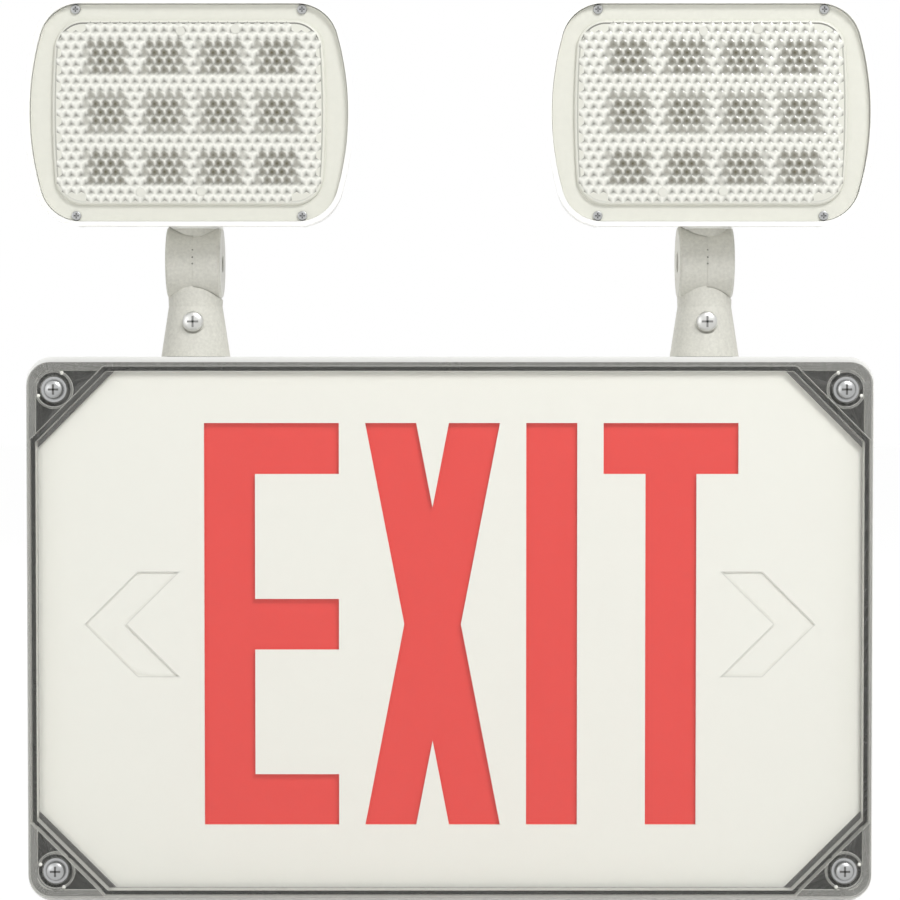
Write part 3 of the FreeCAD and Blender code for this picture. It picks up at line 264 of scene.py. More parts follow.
class MarkSizes(bpy.types.PropertyGroup):
    """Small marks: ejector marks that moulding leaves behind, and seam dots of painted shade."""
    drum_radius: FloatProperty(
        name="Drum radius", description="Radius of the knuckle drum that carries the seam dots",
        default=14.1 * MM, min=0.0, subtype="DISTANCE")
    dot_radius: FloatProperty(
        name="Dot radius", description="Radius of each seam dot",
        default=0.35 * MM, min=0.0, subtype="DISTANCE")
    mark_radius: FloatProperty(
        name="Mark radius", description="Radius of each ejector mark",
        default=1.7 * MM, min=0.0, subtype="DISTANCE")
    mark_lift: FloatProperty(
        name="Mark lift", description="How far the ejector marks stand before the window",
        default=0.47 * MM, min=0.0, subtype="DISTANCE")


class StageSizes(bpy.types.PropertyGroup):
    """Where the camera and the lamps stand."""
    camera_distance: FloatProperty(
        name="Camera distance", description="From the legend to the camera",
        default=1.05, min=0.1, subtype="DISTANCE")
    aim_height: FloatProperty(
        name="Aim height", description="Height on the legend plane that the camera looks at",
        default=0.068, subtype="DISTANCE")
    camera_pitch: FloatProperty(
        name="Camera pitch", description="Downward tilt of the camera",
        default=math.radians(1.7), subtype="ANGLE")
    view_width: FloatProperty(
        name="View width", description="Width that fills the picture at the legend plane",
        default=0.3399, min=0.01, subtype="DISTANCE")


class Finishes(bpy.types.PropertyGroup):
    """Colours of the moulded parts, and where the heads' sandy texture starts."""
    housing: FloatVectorProperty(
        name="Housing", description="White polycarbonate of the housing and heads",
        default=linear("#FAFAF7"), subtype="COLOR", min=0.0, max=1.0)
    legend: FloatVectorProperty(
        name="Legend", description="White stencil sheet",
        default=linear("#E9E9E1"), subtype="COLOR", min=0.0, max=1.0)
    diffuser: FloatVectorProperty(
        name="Diffuser", description="Red letters behind the stencil",
        default=linear("#E0443F"), subtype="COLOR", min=0.0, max=1.0)
    arm: FloatVectorProperty(
        name="Arm", description="Textured swivel arms",
        default=linear("#D4D3CA"), subtype="COLOR", min=0.0, max=1.0)
    gasket: FloatVectorProperty(
        name="Gasket", description="Foam rubber under the clear cover",
        default=linear("#5C5C5A"), subtype="COLOR", min=0.0, max=1.0)
    lens_rim: FloatVectorProperty(
        name="Lens rim", description="Frosted rim of each lamp lens",
        default=linear("#DCDCD2"), subtype="COLOR", min=0.0, max=1.0)
    neck_drop: FloatProperty(
        name="Neck drop", description="From the reflector's lower edge to the head's underside",
        default=10.4 * MM, subtype="DISTANCE")


# ---------------------------------------------------------------- materials

def add_node(tree, kind, settings=None, links=None):
    """One node with its settings and the sockets that feed it."""
    node = tree.nodes.new(kind)
    for key, setting in (settings or {}).items():
        if key in node.inputs:
            node.inputs[key].default_value = setting
        else:
            setattr(node, key, setting)
    for socket, source in (links or {}).items():
        tree.links.new(source, node.inputs[socket])
    return node


def new_material(name, colour, roughness, metallic=0.0, **more):
    """A material with a Principled shader set from real values."""
    material = bpy.data.materials.new(name)
    material.use_nodes = True
    tree = material.node_tree
    tree.nodes.clear()
    settings = {"Base Color": (*colour[:3], 1.0), "Roughness": roughness, "Metallic": metallic}
    settings.update(more)
    shader = add_node(tree, "ShaderNodeBsdfPrincipled", settings)
    add_node(tree, "ShaderNodeOutputMaterial", links={"Surface": shader.outputs["BSDF"]})
    return material, tree, shader


def add_grain(tree, shader, size, depth, detail=2.0):
    """A fine bump whose grain has a real size in metres."""
    # real tool textures are finer: each is drawn as coarse as it needs to be to show
    place = add_node(tree, "ShaderNodeTexCoord")
    noise = add_node(tree, "ShaderNodeTexNoise", {"Scale": 1.0 / size, "Detail": detail},
                     {"Vector": place.outputs["Object"]})
    bump = add_node(tree, "ShaderNodeBump", {"Strength": 1.0, "Distance": depth},
                    {"Height": noise.outputs["Fac"]})
    tree.links.new(bump.outputs["Normal"], shader.inputs["Normal"])
    return place


def add_mottle(tree, shader, place, size, dark, light):
    """Two close shades of one colour, blended in patches of a real size."""
    noise = add_node(tree, "ShaderNodeTexNoise", {"Scale": 1.0 / size, "Detail": 3.0},
                     {"Vector": place.outputs["Object"]})
    mix = mixed(tree, noise.outputs["Fac"], dark, light)
    tree.links.new(mix.outputs[2], shader.inputs["Base Color"])


def mixed(tree, factor, first, second):
    """A colour mix node between two colours."""
    mix = add_node(tree, "ShaderNodeMix", {"data_type": "RGBA"}, {"Factor": factor})
    for socket, colour in zip(colour_inputs(mix), (first, second)):
        socket.default_value = (*colour, 1.0)
    return mix


def colour_inputs(mix):
    return [socket for socket in mix.inputs if socket.type == "RGBA"]


def add_recess_shade(tree, shader, colour, reach, dark):
    """Painted shade: recesses within a reach are darkened towards a dark colour, as they see less
    light.
    """
    hollow = add_node(tree, "ShaderNodeAmbientOcclusion", {"Distance": reach, "samples": 8})
    spread = add_node(tree, "ShaderNodeMapRange", {"From Min": 0.35, "From Max": 0.85},
                      {"Value": hollow.outputs["AO"]})
    mix = mixed(tree, spread.outputs["Result"], dark, colour[:3])
    tree.links.new(mix.outputs[2], shader.inputs["Base Color"])


def shade(colour, factor):
    return tuple(min(1.0, channel * factor) for channel in colour[:3])


def moulded_polycarbonate(colour):
    """Injection-moulded white polycarbonate: even, with a soft sheen from a spark-eroded tool."""
    material, tree, shader = new_material("moulded_white", colour, 0.36, IOR=1.58)
    add_grain(tree, shader, 0.5 * MM, 0.006 * MM)
    return material


def head_plastic(colour, neck, level):
    """White lamp head whose neck, below a level, has the dry sandy texture of the arms."""
    material, tree, shader = new_material("moulded_head", colour, 0.36, IOR=1.58)
    place = add_grain(tree, shader, 1.0 * MM, 0.012 * MM, 4.0)
    parts = add_node(tree, "ShaderNodeSeparateXYZ", links={"Vector": place.outputs["Object"]})
    below = add_node(tree, "ShaderNodeMath", {"operation": "LESS_THAN"},
                     {0: parts.outputs["Z"]})
    below.inputs[1].default_value = level
    noise = add_node(tree, "ShaderNodeTexNoise", {"Scale": 1.0 / SAND_SIZE, "Detail": 4.0},
                     {"Vector": place.outputs["Object"]})
    sand = mixed(tree, noise.outputs["Fac"], shade(neck, SAND_DARK), shade(neck, SAND_LIGHT))
    both = mixed(tree, below.outputs[0], colour[:3], colour[:3])
    tree.links.new(sand.outputs[2], colour_inputs(both)[1])
    tree.links.new(both.outputs[2], shader.inputs["Base Color"])
    return material


def textured_nylon(colour):
    """Glass-filled nylon of the arms: a dry sandy texture that mottles the light."""
    material, tree, shader = new_material("textured_nylon", colour, 0.62, IOR=1.53)
    place = add_grain(tree, shader, 1.0 * MM, 0.08 * MM, 4.0)
    dark, light = shade(colour, SAND_DARK), shade(colour, SAND_LIGHT)
    add_mottle(tree, shader, place, SAND_SIZE, dark, light)
    return material


def foam_rubber(colour):
    """Closed-cell EPDM gasket: dark, dull and faintly pitted."""
    material, tree, shader = new_material("foam_rubber", colour, 0.75, IOR=1.52)
    place = add_grain(tree, shader, 0.4 * MM, 0.03 * MM)
    add_mottle(tree, shader, place, 2.0 * MM, shade(colour, 0.92), shade(colour, 1.08))
    return material


def clear_polycarbonate():
    """Clear moulded cover: almost nothing straight on, and painted light set per face: grey on the
    walls, seen edge on, and white on the polished front edge.
    """
    wall, edge = linear("#30302F"), linear("#FFFFF8")
    material, tree, shader = new_material("clear_moulding", wall, 0.1, IOR=1.58)
    tone = add_node(tree, "ShaderNodeAttribute", {"attribute_name": "painted_edge_light"})
    colour = mixed(tree, tone.outputs["Fac"], wall, edge)
    tree.links.new(colour.outputs[2], shader.inputs["Base Color"])
    share = add_node(tree, "ShaderNodeAttribute", {"attribute_name": "edge_share"})
    tree.links.new(share.outputs["Fac"], shader.inputs["Alpha"])
    return material


def stencil_sheet(colour):
    """Matt white polystyrene stencil: a fine paper-like grain and a barely uneven white."""
    material, tree, shader = new_material("stencil_sheet", colour, 0.6, IOR=1.55)
    place = add_grain(tree, shader, 0.6 * MM, 0.012 * MM, 4.0)
    add_mottle(tree, shader, place, 3.0 * MM, shade(colour, 0.975), shade(colour, 1.02))
    return material


def red_acrylic(colour):
    """Cast red acrylic diffuser: even, slightly milky, with a soft gloss."""
    material, tree, shader = new_material("red_acrylic", colour, 0.4, IOR=1.49)
    place = add_grain(tree, shader, 0.8 * MM, 0.004 * MM)
    add_mottle(tree, shader, place, 6.0 * MM, shade(colour, 0.97), shade(colour, 1.03))
    return material


def frosted_rim(colour):
    """The lens's flat rim: clear plastic over the white ledge reads as a soft warm grey."""
    material, tree, shader = new_material("frosted_rim", colour, 0.42, IOR=1.58)
    place = add_grain(tree, shader, 0.5 * MM, 0.008 * MM)
    add_mottle(tree, shader, place, 2.5 * MM, shade(colour, 0.97), shade(colour, 1.03))
    return material


def prismatic_lens():
    """Lens cells: each is painted with a small picture of what lies behind it, the white plate,
    the diodes and the shaded cups, kept as its own colour: painted light and shade.
    """
    material, tree, shader = new_material("prismatic_cells", linear("#F4F4EC"), 0.18, IOR=1.58)
    shader.inputs["Coat Weight"].default_value = 0.4
    shader.inputs["Coat Roughness"].default_value = 0.08
    cell_light = add_node(tree, "ShaderNodeAttribute", {"attribute_name": "cell_painted_light"})
    tree.links.new(cell_light.outputs["Color"], shader.inputs["Base Color"])
    return material


def zinc_steel():
    """Zinc-plated steel screws: dull and slightly blue, with painted shade darkening their
    recesses.
    """
    zinc = linear("#B0B1B1")
    material, tree, shader = new_material("zinc_plate", zinc, 0.36, 1.0)
    add_grain(tree, shader, 0.25 * MM, 0.004 * MM)
    # painted shade: darker in the recesses
    add_recess_shade(tree, shader, zinc, 1.0 * MM, linear("#3A3A3A"))
    return material


def satin_stainless():
    """Tumbled stainless steel clamp screws: a soft, broad highlight on the crown."""
    material, tree, shader = new_material("satin_stainless", linear("#CFCFCC"), 0.36, 1.0)
    add_grain(tree, shader, 0.3 * MM, 0.003 * MM)
    return material


def plain_moulding(name, code, roughness):
    """A small coloured moulding with a fine tool texture."""
    colour = linear(code)
    material, tree, shader = new_material(name, colour, roughness, IOR=1.52)
    place = add_grain(tree, shader, 0.4 * MM, 0.006 * MM)
    add_mottle(tree, shader, place, 2.0 * MM, shade(colour, 0.95), shade(colour, 1.05))
    return material


def make_materials():
    """All finishes, keyed by the record's material slots."""
    colours = bpy.context.scene.exit_light_finishes
    return {
        "housing_plastic": moulded_polycarbonate(tuple(colours.housing)),
        "gasket_rubber": foam_rubber(tuple(colours.gasket)),
        "clear_polycarbonate": clear_polycarbonate(),
        "legend_white": stencil_sheet(tuple(colours.legend)),
        "red_acrylic": red_acrylic(tuple(colours.diffuser)),
        "inner_plastic": plain_moulding("white_abs", "#E2E2DC", 0.5),
        "arm_plastic": textured_nylon(tuple(colours.arm)),
        "zinc_steel": zinc_steel(),
        "stainless_steel": satin_stainless(),
        "board_green": plain_moulding("solder_mask_green", "#1F5C34", 0.45),
        "board_white": plain_moulding("solder_mask_white", "#E4E4DE", 0.4),
        "led_yellow": plain_moulding("phosphor_yellow", "#B9AE62", 0.35),
        "cup_grey": plain_moulding("reflector_white", "#DADAD2", 0.3),
        "component_dark": plain_moulding("black_component", "#2A2A2B", 0.4),
        "transformer_steel": plain_moulding("laminated_core", "#4A4A4C", 0.55),
        "battery_wrap": plain_moulding("cell_wrap_blue", "#2B4E86", 0.35),
        "button_red": plain_moulding("button_red", "#B3211D", 0.35),
        "lamp_green": plain_moulding("indicator_green", "#3FA34D", 0.2),
        "bezel_black": plain_moulding("bezel_black", "#222222", 0.5),
        "seal_black": plain_moulding("seal_rubber", "#1C1C1C", 0.8),
    }


# ---------------------------------------------------------------- mesh helpers

def piece_from(mesh, name, material, body):
    """A finished piece from a bmesh: it rides on a body and names its finish."""
    data = bpy.data.meshes.new(name)
    mesh.to_mesh(data)
    mesh.free()
    data.materials.append(material)
    piece = bpy.data.objects.new(name, data)
    bpy.context.scene.collection.objects.link(piece)
    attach(piece, body)
    return piece


def cad_faces(name, keep=None):
    """A merged copy of a CAD node's mesh, or only those faces that pass a test."""
    mesh = bmesh.new()
    mesh.from_mesh(frame["nodes"][name].data)
    bmesh.ops.remove_doubles(mesh, verts=mesh.verts, dist=MERGE_REACH)
    if keep:
        dropped = [face for face in mesh.faces if not keep(face)]
        bmesh.ops.delete(mesh, geom=dropped, context="FACES")
    bmesh.ops.dissolve_limit(mesh, angle_limit=math.radians(0.5), verts=mesh.verts,
                             edges=mesh.edges)
    return mesh


def round_off(mesh, edges, radius, segments):
    """Round edges with a number of facets."""
    bmesh.ops.bevel(mesh, geom=edges, offset=radius, affect="EDGES", segments=segments,
                    profile=0.5, material=-1, clamp_overlap=True)


def keep_ring(mesh, width):
    """Inset every face and keep only the strip along its outline."""
    inner = list(mesh.faces)
    bmesh.ops.inset_region(mesh, faces=inner, thickness=width, use_boundary=True,
                           use_even_offset=True)
    bmesh.ops.delete(mesh, geom=inner, context="FACES")


def smooth(piece, angle):
    """Smooth shading that keeps edges sharper than an angle."""
    piece.data.shade_smooth()
    edges = bmesh.new()
    edges.from_mesh(piece.data)
    for edge in edges.edges:
        turned = len(edge.link_faces) == 2 and edge.calc_face_angle() > math.radians(angle)
        edge.smooth = not turned
    edges.to_mesh(piece.data)
    edges.free()


def inside_outline(x, z, half_width, half_height, bow, corner, inset):
    """Whether a point lies within the head's bowed outline, set in by a margin."""
    middle = half_width - bow
    corner_z = half_height - corner
    corner_x = middle + math.sqrt((bow - corner) ** 2 - corner_z ** 2)
    x, z = abs(x), abs(z)
    if z > half_height - inset:
        return False
    if math.hypot(x - middle, z) > bow - inset:
        return False
    past_corner = x > corner_x and z > corner_z
    return not past_corner or math.hypot(x - corner_x, z - corner_z) < corner - inset


# ---------------------------------------------------------------- operators

class EXITLIGHT_OT_finishes(bpy.types.Operator):
    """Give every CAD piece its real finish"""
    bl_idname = "exit_light.finishes"
    bl_label = "Finish the CAD pieces"

    def execute(self, context):
        materials = make_materials()
        colours = context.scene.exit_light_finishes
        # the cells, grooves and marks find this one by its name
        prismatic_lens()
        rim = frosted_rim(tuple(colours.lens_rim))
        neck_top = node_box("left_reflector")[0].z - colours.neck_drop
        head = head_plastic(tuple(colours.housing), tuple(colours.arm), neck_top)
        slots = {part["node"]: part["material_slot"] for part in frame["record"]["subparts"]}
        for name, node in frame["nodes"].items():
            finish = materials[slots[name]]
            if name.endswith("_lens"):
                finish = rim
            if name.endswith("_head_housing"):
                finish = head
            for slot in node.material_slots:
                slot.material = finish
        return {"FINISHED"}


class EXITLIGHT_OT_cover(bpy.types.Operator):
    """Model the clear cover with polished, rounded edges, its painted light and its painted glint
    spots
    """
    bl_idname = "exit_light.cover"
    bl_label = "Clear cover"

    def execute(self, context):
        sizes = context.scene.exit_light_cover
        mesh = cad_faces("clear_cover")
        edges = [edge for edge in mesh.edges
                 if len(edge.link_faces) == 2 and edge.calc_face_angle() > math.radians(30)]
        round_off(mesh, edges, sizes.edge_radius, sizes.edge_segments)
        set_cover_haze_and_light(mesh, sizes)
        finish = node_finish("clear_cover")
        piece = piece_from(mesh, "polished_cover", finish, "sign")
        smooth(piece, 30)
        # clear plastic over a white sheet casts next to no shadow on it
        piece.visible_shadow = False
        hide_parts("clear_cover")
        add_glint_spots(finish, sizes)
        return {"FINISHED"}


def set_cover_haze_and_light(mesh, sizes):
    """How much light each face of the cover holds back, and its painted light: white on the
    polished front edge, grey on lips and walls.
    """
    share = mesh.faces.layers.float.new("edge_share")
    tone = mesh.faces.layers.float.new("painted_edge_light")
    flange_front = node_box("cover_washers")[0].y
    cover_front = node_box("clear_cover")[0].y
    for face in mesh.faces:
        front = face.calc_center_median().y
        tilt = abs(face.normal.y)
        face[share], face[tone] = sizes.wall_share, sizes.painted_lip_light
        if tilt > FLAT:
            lip = cover_front + sizes.dome_wall <= front < flange_front
            face[share] = sizes.lip_share if lip else sizes.flat_share
        elif tilt > SLOPE and front < cover_front + sizes.edge_radius:
            face[tone] = sizes.painted_edge_light


def add_glint_spots(finish, sizes):
    """Painted highlights: small opaque white spots for the glints where the ring round each corner
    screw meets the raised lip.
    """
    mesh = bmesh.new()
    share = mesh.faces.layers.float.new("edge_share")
    tone = mesh.faces.layers.float.new("painted_edge_light")
    front = node_box("cover_washers")[0].y
    for centre, _ in head_places("cover_screws"):
        across, up = math.copysign(MM, centre.x), math.copysign(MM, centre.z)
        for out, over in GLINT_SPOTS:
            place = (centre.x + across * out, front, centre.z + up * over)
            made = bmesh.ops.create_uvsphere(mesh, u_segments=12, v_segments=8,
                                             radius=sizes.glint_radius)["verts"]
            bmesh.ops.translate(mesh, verts=made, vec=place)
    for face in mesh.faces:
        face[share], face[tone] = 1.0, 1.0
    piece = piece_from(mesh, "cover_glint_spots", finish, "sign")
    piece.data.shade_smooth()


class EXITLIGHT_OT_chevrons(bpy.types.Operator):
    """Lay the painted shade of the knock-out chevrons' scored outlines on the legend as grey lines
    """
    bl_idname = "exit_light.chevrons"
    bl_label = "Chevron score lines"

    def execute(self, context):
        sizes = context.scene.exit_light_cover
        low, high = node_box("legend_plate")
        middle = (low.y + high.y) / 2
        mesh = cad_faces("legend_plate", lambda face: face.normal.y < -FACING
                         and low.y + SCORE_DEPTH < face.calc_center_median().y < middle)
        keep_ring(mesh, sizes.line_width)
        floor = max(vert.co.y for vert in mesh.verts)
        bmesh.ops.translate(mesh, verts=mesh.verts, vec=(0.0, low.y - SCORE_LIFT - floor, 0.0))
        # painted shade: grey lines where the scored outlines fall in shade
        score, _, _ = new_material("chevron_line_shade", linear("#D6D6CF"), 0.6, IOR=1.55)
        piece_from(mesh, "chevron_score_shade", score, "sign")
        return {"FINISHED"}


class EXITLIGHT_OT_screws(bpy.types.Operator):
    """Crown the visible screw heads and lay painted shade in their cross recesses"""
    bl_idname = "exit_light.screws"
    bl_label = "Screw crowns"

    def execute(self, context):
        sizes = context.scene.exit_light_screws
        # painted shade: the cross recesses' floors are darker boxes of metal
        sunk, _, _ = new_material("zinc_cross_shade", linear("#6A6A68"), 0.4, 1.0)
        pressed, _, _ = new_material("stainless_cross_shade", linear("#8E8E8C"), 0.35, 1.0)
        bodies = {"cover_screws": "sign"}
        bodies.update({f"{side}_clamp_screw": f"{side}_arm" for side in SIDES})
        for name, body in bodies.items():
            crowns, crosses = bmesh.new(), bmesh.new()
            for centre, radius in head_places(name):
                add_crown(crowns, centre, radius, sizes)
                add_cross(crosses, centre, radius, sizes)
            crown = piece_from(crowns, f"{name}_crowns", node_finish(name), body)
            crown.data.shade_smooth()
            recess = sunk if body == "sign" else pressed
            piece_from(crosses, f"{name}_recesses", recess, body)
        return {"FINISHED"}


def joined_verts(start):
    """All vertices that edges join to one."""
    island, todo = set(), [start]
    while todo:
        vert = todo.pop()
        island.add(vert)
        others = [edge.other_vert(vert) for edge in vert.link_edges]
        todo += [other for other in others if other not in island]
    return island


def head_places(name):
    """Centre and radius of each screw head of a node, found from its front faces."""
    low, _ = node_box(name)
    mesh = cad_faces(name, lambda face: face.calc_center_median().y < low.y + HEAD_DEPTH)
    seen = set()
    for vert in mesh.verts:
        if vert in seen:
            continue
        island = joined_verts(vert)
        seen |= island
        xs = [vert.co.x for vert in island]
        zs = [vert.co.z for vert in island]
        centre = Vector(((min(xs) + max(xs)) / 2, low.y, (min(zs) + max(zs)) / 2))
        yield centre, (max(xs) - min(xs)) / 2
    mesh.free()


def add_crown(mesh, centre, radius, sizes):
    """A shallow dome over one head, spun about its axis."""
    rim = radius * CROWN_SINK
    profile = []
    for step in range(CROWN_STEPS + 1):
        turn = math.pi / 2 * step / CROWN_STEPS
        out = radius * CROWN_REACH * math.sin(turn)
        front = rim - (sizes.crown_rise + rim) * math.cos(turn)
        profile.append(mesh.verts.new(centre + Vector((out, front, 0.0))))
    edges = [mesh.edges.new(pair) for pair in zip(profile, profile[1:])]
    bmesh.ops.spin(mesh, geom=profile + edges, cent=centre, axis=(0.0, 1.0, 0.0),
                   angle=2 * math.pi, steps=CROWN_TURNS, use_merge=True)
    bmesh.ops.remove_doubles(mesh, verts=mesh.verts, dist=MERGE_REACH)
    bmesh.ops.recalc_face_normals(mesh, faces=mesh.faces)


def add_cross(mesh, centre, radius, sizes):
    """Painted shade: a dark box for the floor of a cross recess, lying on the crown."""
    place = centre + Vector((0.0, CROSS_SINK - sizes.crown_rise, 0.0))
    long, short = 2 * radius * sizes.cross_reach, radius * sizes.cross_width
    for across, up in ((long, short), (short, long)):
        made = bmesh.ops.create_cube(mesh, size=1.0)["verts"]
        bmesh.ops.scale(mesh, verts=made, vec=(across, CROSS_DEPTH, up))
        bmesh.ops.translate(mesh, verts=made, vec=place)


class EXITLIGHT_OT_marks(bpy.types.Operator):
    """Dot the knuckle seams with painted shade and leave the ejector marks on the lens windows"""
    bl_idname = "exit_light.marks"
    bl_label = "Moulding marks"

    def execute(self, context):
        sizes = context.scene.exit_light_marks
        # painted shade: dark dots where the seam's gaps lie in shade
        dark, _, _ = new_material("seam_gap_shade", linear("#7C7C75"), 0.7, IOR=1.5)
        for side in SIDES:
            axis = node_centre(f"{side}_pivot_bolt")
            middle = node_centre(f"{side}_arm").x
            mesh = bmesh.new()
            for dot in SEAM_DOTS:
                rise = dot * MM
                front = axis.y - math.sqrt(sizes.drum_radius ** 2 - rise ** 2) - LAY_ON
                add_disc(mesh, (middle, front, axis.z + rise), sizes.dot_radius)
            piece_from(mesh, f"{side}_seam_dots", dark, f"{side}_arm")
            add_ejector_marks(side, sizes)
        return {"FINISHED"}


def add_disc(mesh, place, radius):
    """A small round mark that faces the front."""
    made = bmesh.ops.create_circle(mesh, cap_ends=True, segments=16, radius=radius)["verts"]
    bmesh.ops.rotate(mesh, verts=made, cent=(0.0, 0.0, 0.0),
                     matrix=Matrix.Rotation(math.radians(90), 3, "X"))
    bmesh.ops.translate(mesh, verts=made, vec=place)
    bmesh.ops.recalc_face_normals(mesh, faces=mesh.faces)
    flipped = [face for face in mesh.faces if face.normal.y > 0]
    bmesh.ops.reverse_faces(mesh, faces=flipped)


def add_ejector_marks(side, sizes):
    """Blank spots in the field of cells."""
    centre = node_centre(f"{side}_leds")
    front = node_box(f"{side}_lens")[0].y - sizes.mark_lift
    mesh = bmesh.new()
    cell_light = mesh.verts.layers.float_color.new("cell_painted_light")
    for x, z in EJECTOR_MARKS:
        add_disc(mesh, (centre.x + x * MM, front, centre.z + z * MM), sizes.mark_radius)
    for vert in mesh.verts:
        vert[cell_light] = (*linear("#DCDCD3"), 1.0)
    piece_from(mesh, f"{side}_ejector_marks", bpy.data.materials["prismatic_cells"],
               f"{side}_head")


class EXITLIGHT_OT_windows(bpy.types.Operator):
    """Round each lens window's front edge and paint the shade of a groove round the cells"""
    bl_idname = "exit_light.windows"
    bl_label = "Lens windows"

    def execute(self, context):
        sizes = context.scene.exit_light_lens
        for side in SIDES:
            front = node_box(f"{side}_lens")[0].y + FRONT_SKIN
            mesh = cad_faces(f"{side}_lens")
            edges = [edge for edge in mesh.edges
                     if all(vert.co.y < front for vert in edge.verts)
                     and len(edge.link_faces) == 2 and edge.calc_face_angle() > SQUARE_EDGE]
            round_off(mesh, edges, sizes.window_edge, WINDOW_FACETS)
            piece = piece_from(mesh, f"{side}_rounded_lens", node_finish(f"{side}_lens"),
                               f"{side}_head")
            smooth(piece, 40)
            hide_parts(f"{side}_lens")
            add_groove_shade(side, front, sizes)
        return {"FINISHED"}


def add_groove_shade(side, front, sizes):
    """Painted shade of the groove between the window's rim and its cells: a strip lying on the
    window, darkest under the top edge and lightest along the bottom.
    """
    mesh = cad_faces(f"{side}_lens", lambda face: face.normal.y < -FACING
                     and face.calc_center_median().y < front)
    ring = bmesh.ops.inset_region(mesh, faces=mesh.faces, thickness=sizes.border_inset,
                                  use_boundary=True, use_even_offset=True)["faces"]
    bmesh.ops.delete(mesh, geom=ring, context="FACES")
    keep_ring(mesh, sizes.border_width)
    bmesh.ops.translate(mesh, verts=mesh.verts, vec=(0.0, -LAY_ON, 0.0))
    cell_light = mesh.verts.layers.float_color.new("cell_painted_light")
    # painted shade: darker along the top, lighter along the bottom
    top, upright, bottom = linear("#7F7F79"), linear("#B4B4AB"), linear("#D2D2C9")
    middle = node_centre(f"{side}_lens").z
    corner = sizes.window_height / 2 * GROOVE_CORNER
    for vert in mesh.verts:
        up = vert.co.z - middle
        tone = top if up > corner else bottom if up < -corner else upright
        vert[cell_light] = (*tone, 1.0)
    piece_from(mesh, f"{side}_window_groove_shade", bpy.data.materials["prismatic_cells"],
               f"{side}_head")


class EXITLIGHT_OT_lenses(bpy.types.Operator):
    """Crown each lamp window with rows of hexagonal lens cells"""
    bl_idname = "exit_light.lenses"
    bl_label = "Prismatic lenses"

    def execute(self, context):
        sizes = context.scene.exit_light_lens
        material = bpy.data.materials["prismatic_cells"]
        template = cell_template(sizes)
        for side in SIDES:
            rows = {}
            for place, share in lens_places(side, sizes):
                rows.setdefault(place[2], []).append((place, share))
            mesh = bmesh.new()
            for cells in rows.values():
                row = make_row(template, cells, sizes)
                mesh.from_mesh(row)
                bpy.data.meshes.remove(row)
            piece = piece_from(mesh, f"{side}_lens_cells", material, f"{side}_head")
            piece.data.shade_smooth()
        bpy.data.meshes.remove(template)
        return {"FINISHED"}


def make_row(template, cells, sizes):
    """One row of cells, built apart so that each stays quick to copy."""
    mesh = bmesh.new()
    cell_light = mesh.verts.layers.float_color.new("cell_painted_light")
    for place, share in cells:
        add_cell(mesh, cell_light, template, place, sizes, share)
    row = bpy.data.meshes.new("cell_row")
    mesh.to_mesh(row)
    mesh.free()
    return row


def lens_places(side, sizes):
    """Centres of the lens cells of one head, with how much lamp each one shows."""
    front = node_box(f"{side}_lens")[0].y
    centre = node_centre(f"{side}_leds")
    half_width, half_height = sizes.window_width / 2, sizes.field_height / 2
    row_pitch = sizes.cell_pitch * math.sqrt(3) / 2
    rows = int(half_height / row_pitch) + 1
    columns = int(half_width / sizes.cell_pitch) + 1
    for row in range(-rows, rows + 1):
        shift = sizes.cell_pitch / 2 if row % 2 else 0.0
        for column in range(-columns, columns + 1):
            x = column * sizes.cell_pitch + shift
            z = row * row_pitch
            if inside_outline(x, z, half_width, half_height, sizes.window_bow,
                              sizes.window_corner, sizes.window_margin):
                yield (centre.x + x, front, centre.z + z), lamp_share(x, z, side, sizes)


def lamp_share(x, z, side, sizes):
    """How much of a reflector cup a cell shows: 1 at its middle, less outwards, 0 between cups."""
    low, high = node_box(f"{side}_leds")
    near_x = from_nearest(x - sizes.lamp_shift, high.x - low.x, LED_COLUMNS)
    near_z = from_nearest(z, high.z - low.z, LED_ROWS)
    out = max(near_x / (sizes.cup_width / 2), near_z / (sizes.cup_height / 2))
    return 0.0 if out > 1 else 1.0 - PATCH_FADE * out ** 4


def from_nearest(place, spread, count):
    """How far a place lies from the nearest of a line of diodes about the middle."""
    pitch = (spread - LED_SIZE) / (count - 1)
    middle = (count - 1) / 2
    nearest = min(count - 1, max(0, round(place / pitch + middle)))
    return abs(place - pitch * (nearest - middle))


def cell_template(sizes):
    """One crowned hexagonal cell lying in the window plane: an inset face drawn up to a peak."""
    mesh = bmesh.new()
    reach = sizes.cell_pitch / math.sqrt(3)
    bmesh.ops.create_circle(mesh, cap_ends=True, segments=6, radius=reach)
    middle = list(mesh.faces)
    bmesh.ops.inset_region(mesh, faces=middle, thickness=sizes.cell_pitch / 4, use_boundary=True)
    bmesh.ops.poke(mesh, faces=middle)
    for vert in mesh.verts:
        far = vert.co.length / reach
        across, along = vert.co.x, vert.co.y
        vert.co = (across, -sizes.cell_rise * (1 - far ** 2), along)
    bmesh.ops.recalc_face_normals(mesh, faces=mesh.faces)
    if sum(face.normal.y for face in mesh.faces) > 0:
        bmesh.ops.reverse_faces(mesh, faces=mesh.faces)
    data = bpy.data.meshes.new("cell_template")
    mesh.to_mesh(data)
    mesh.free()
    return data


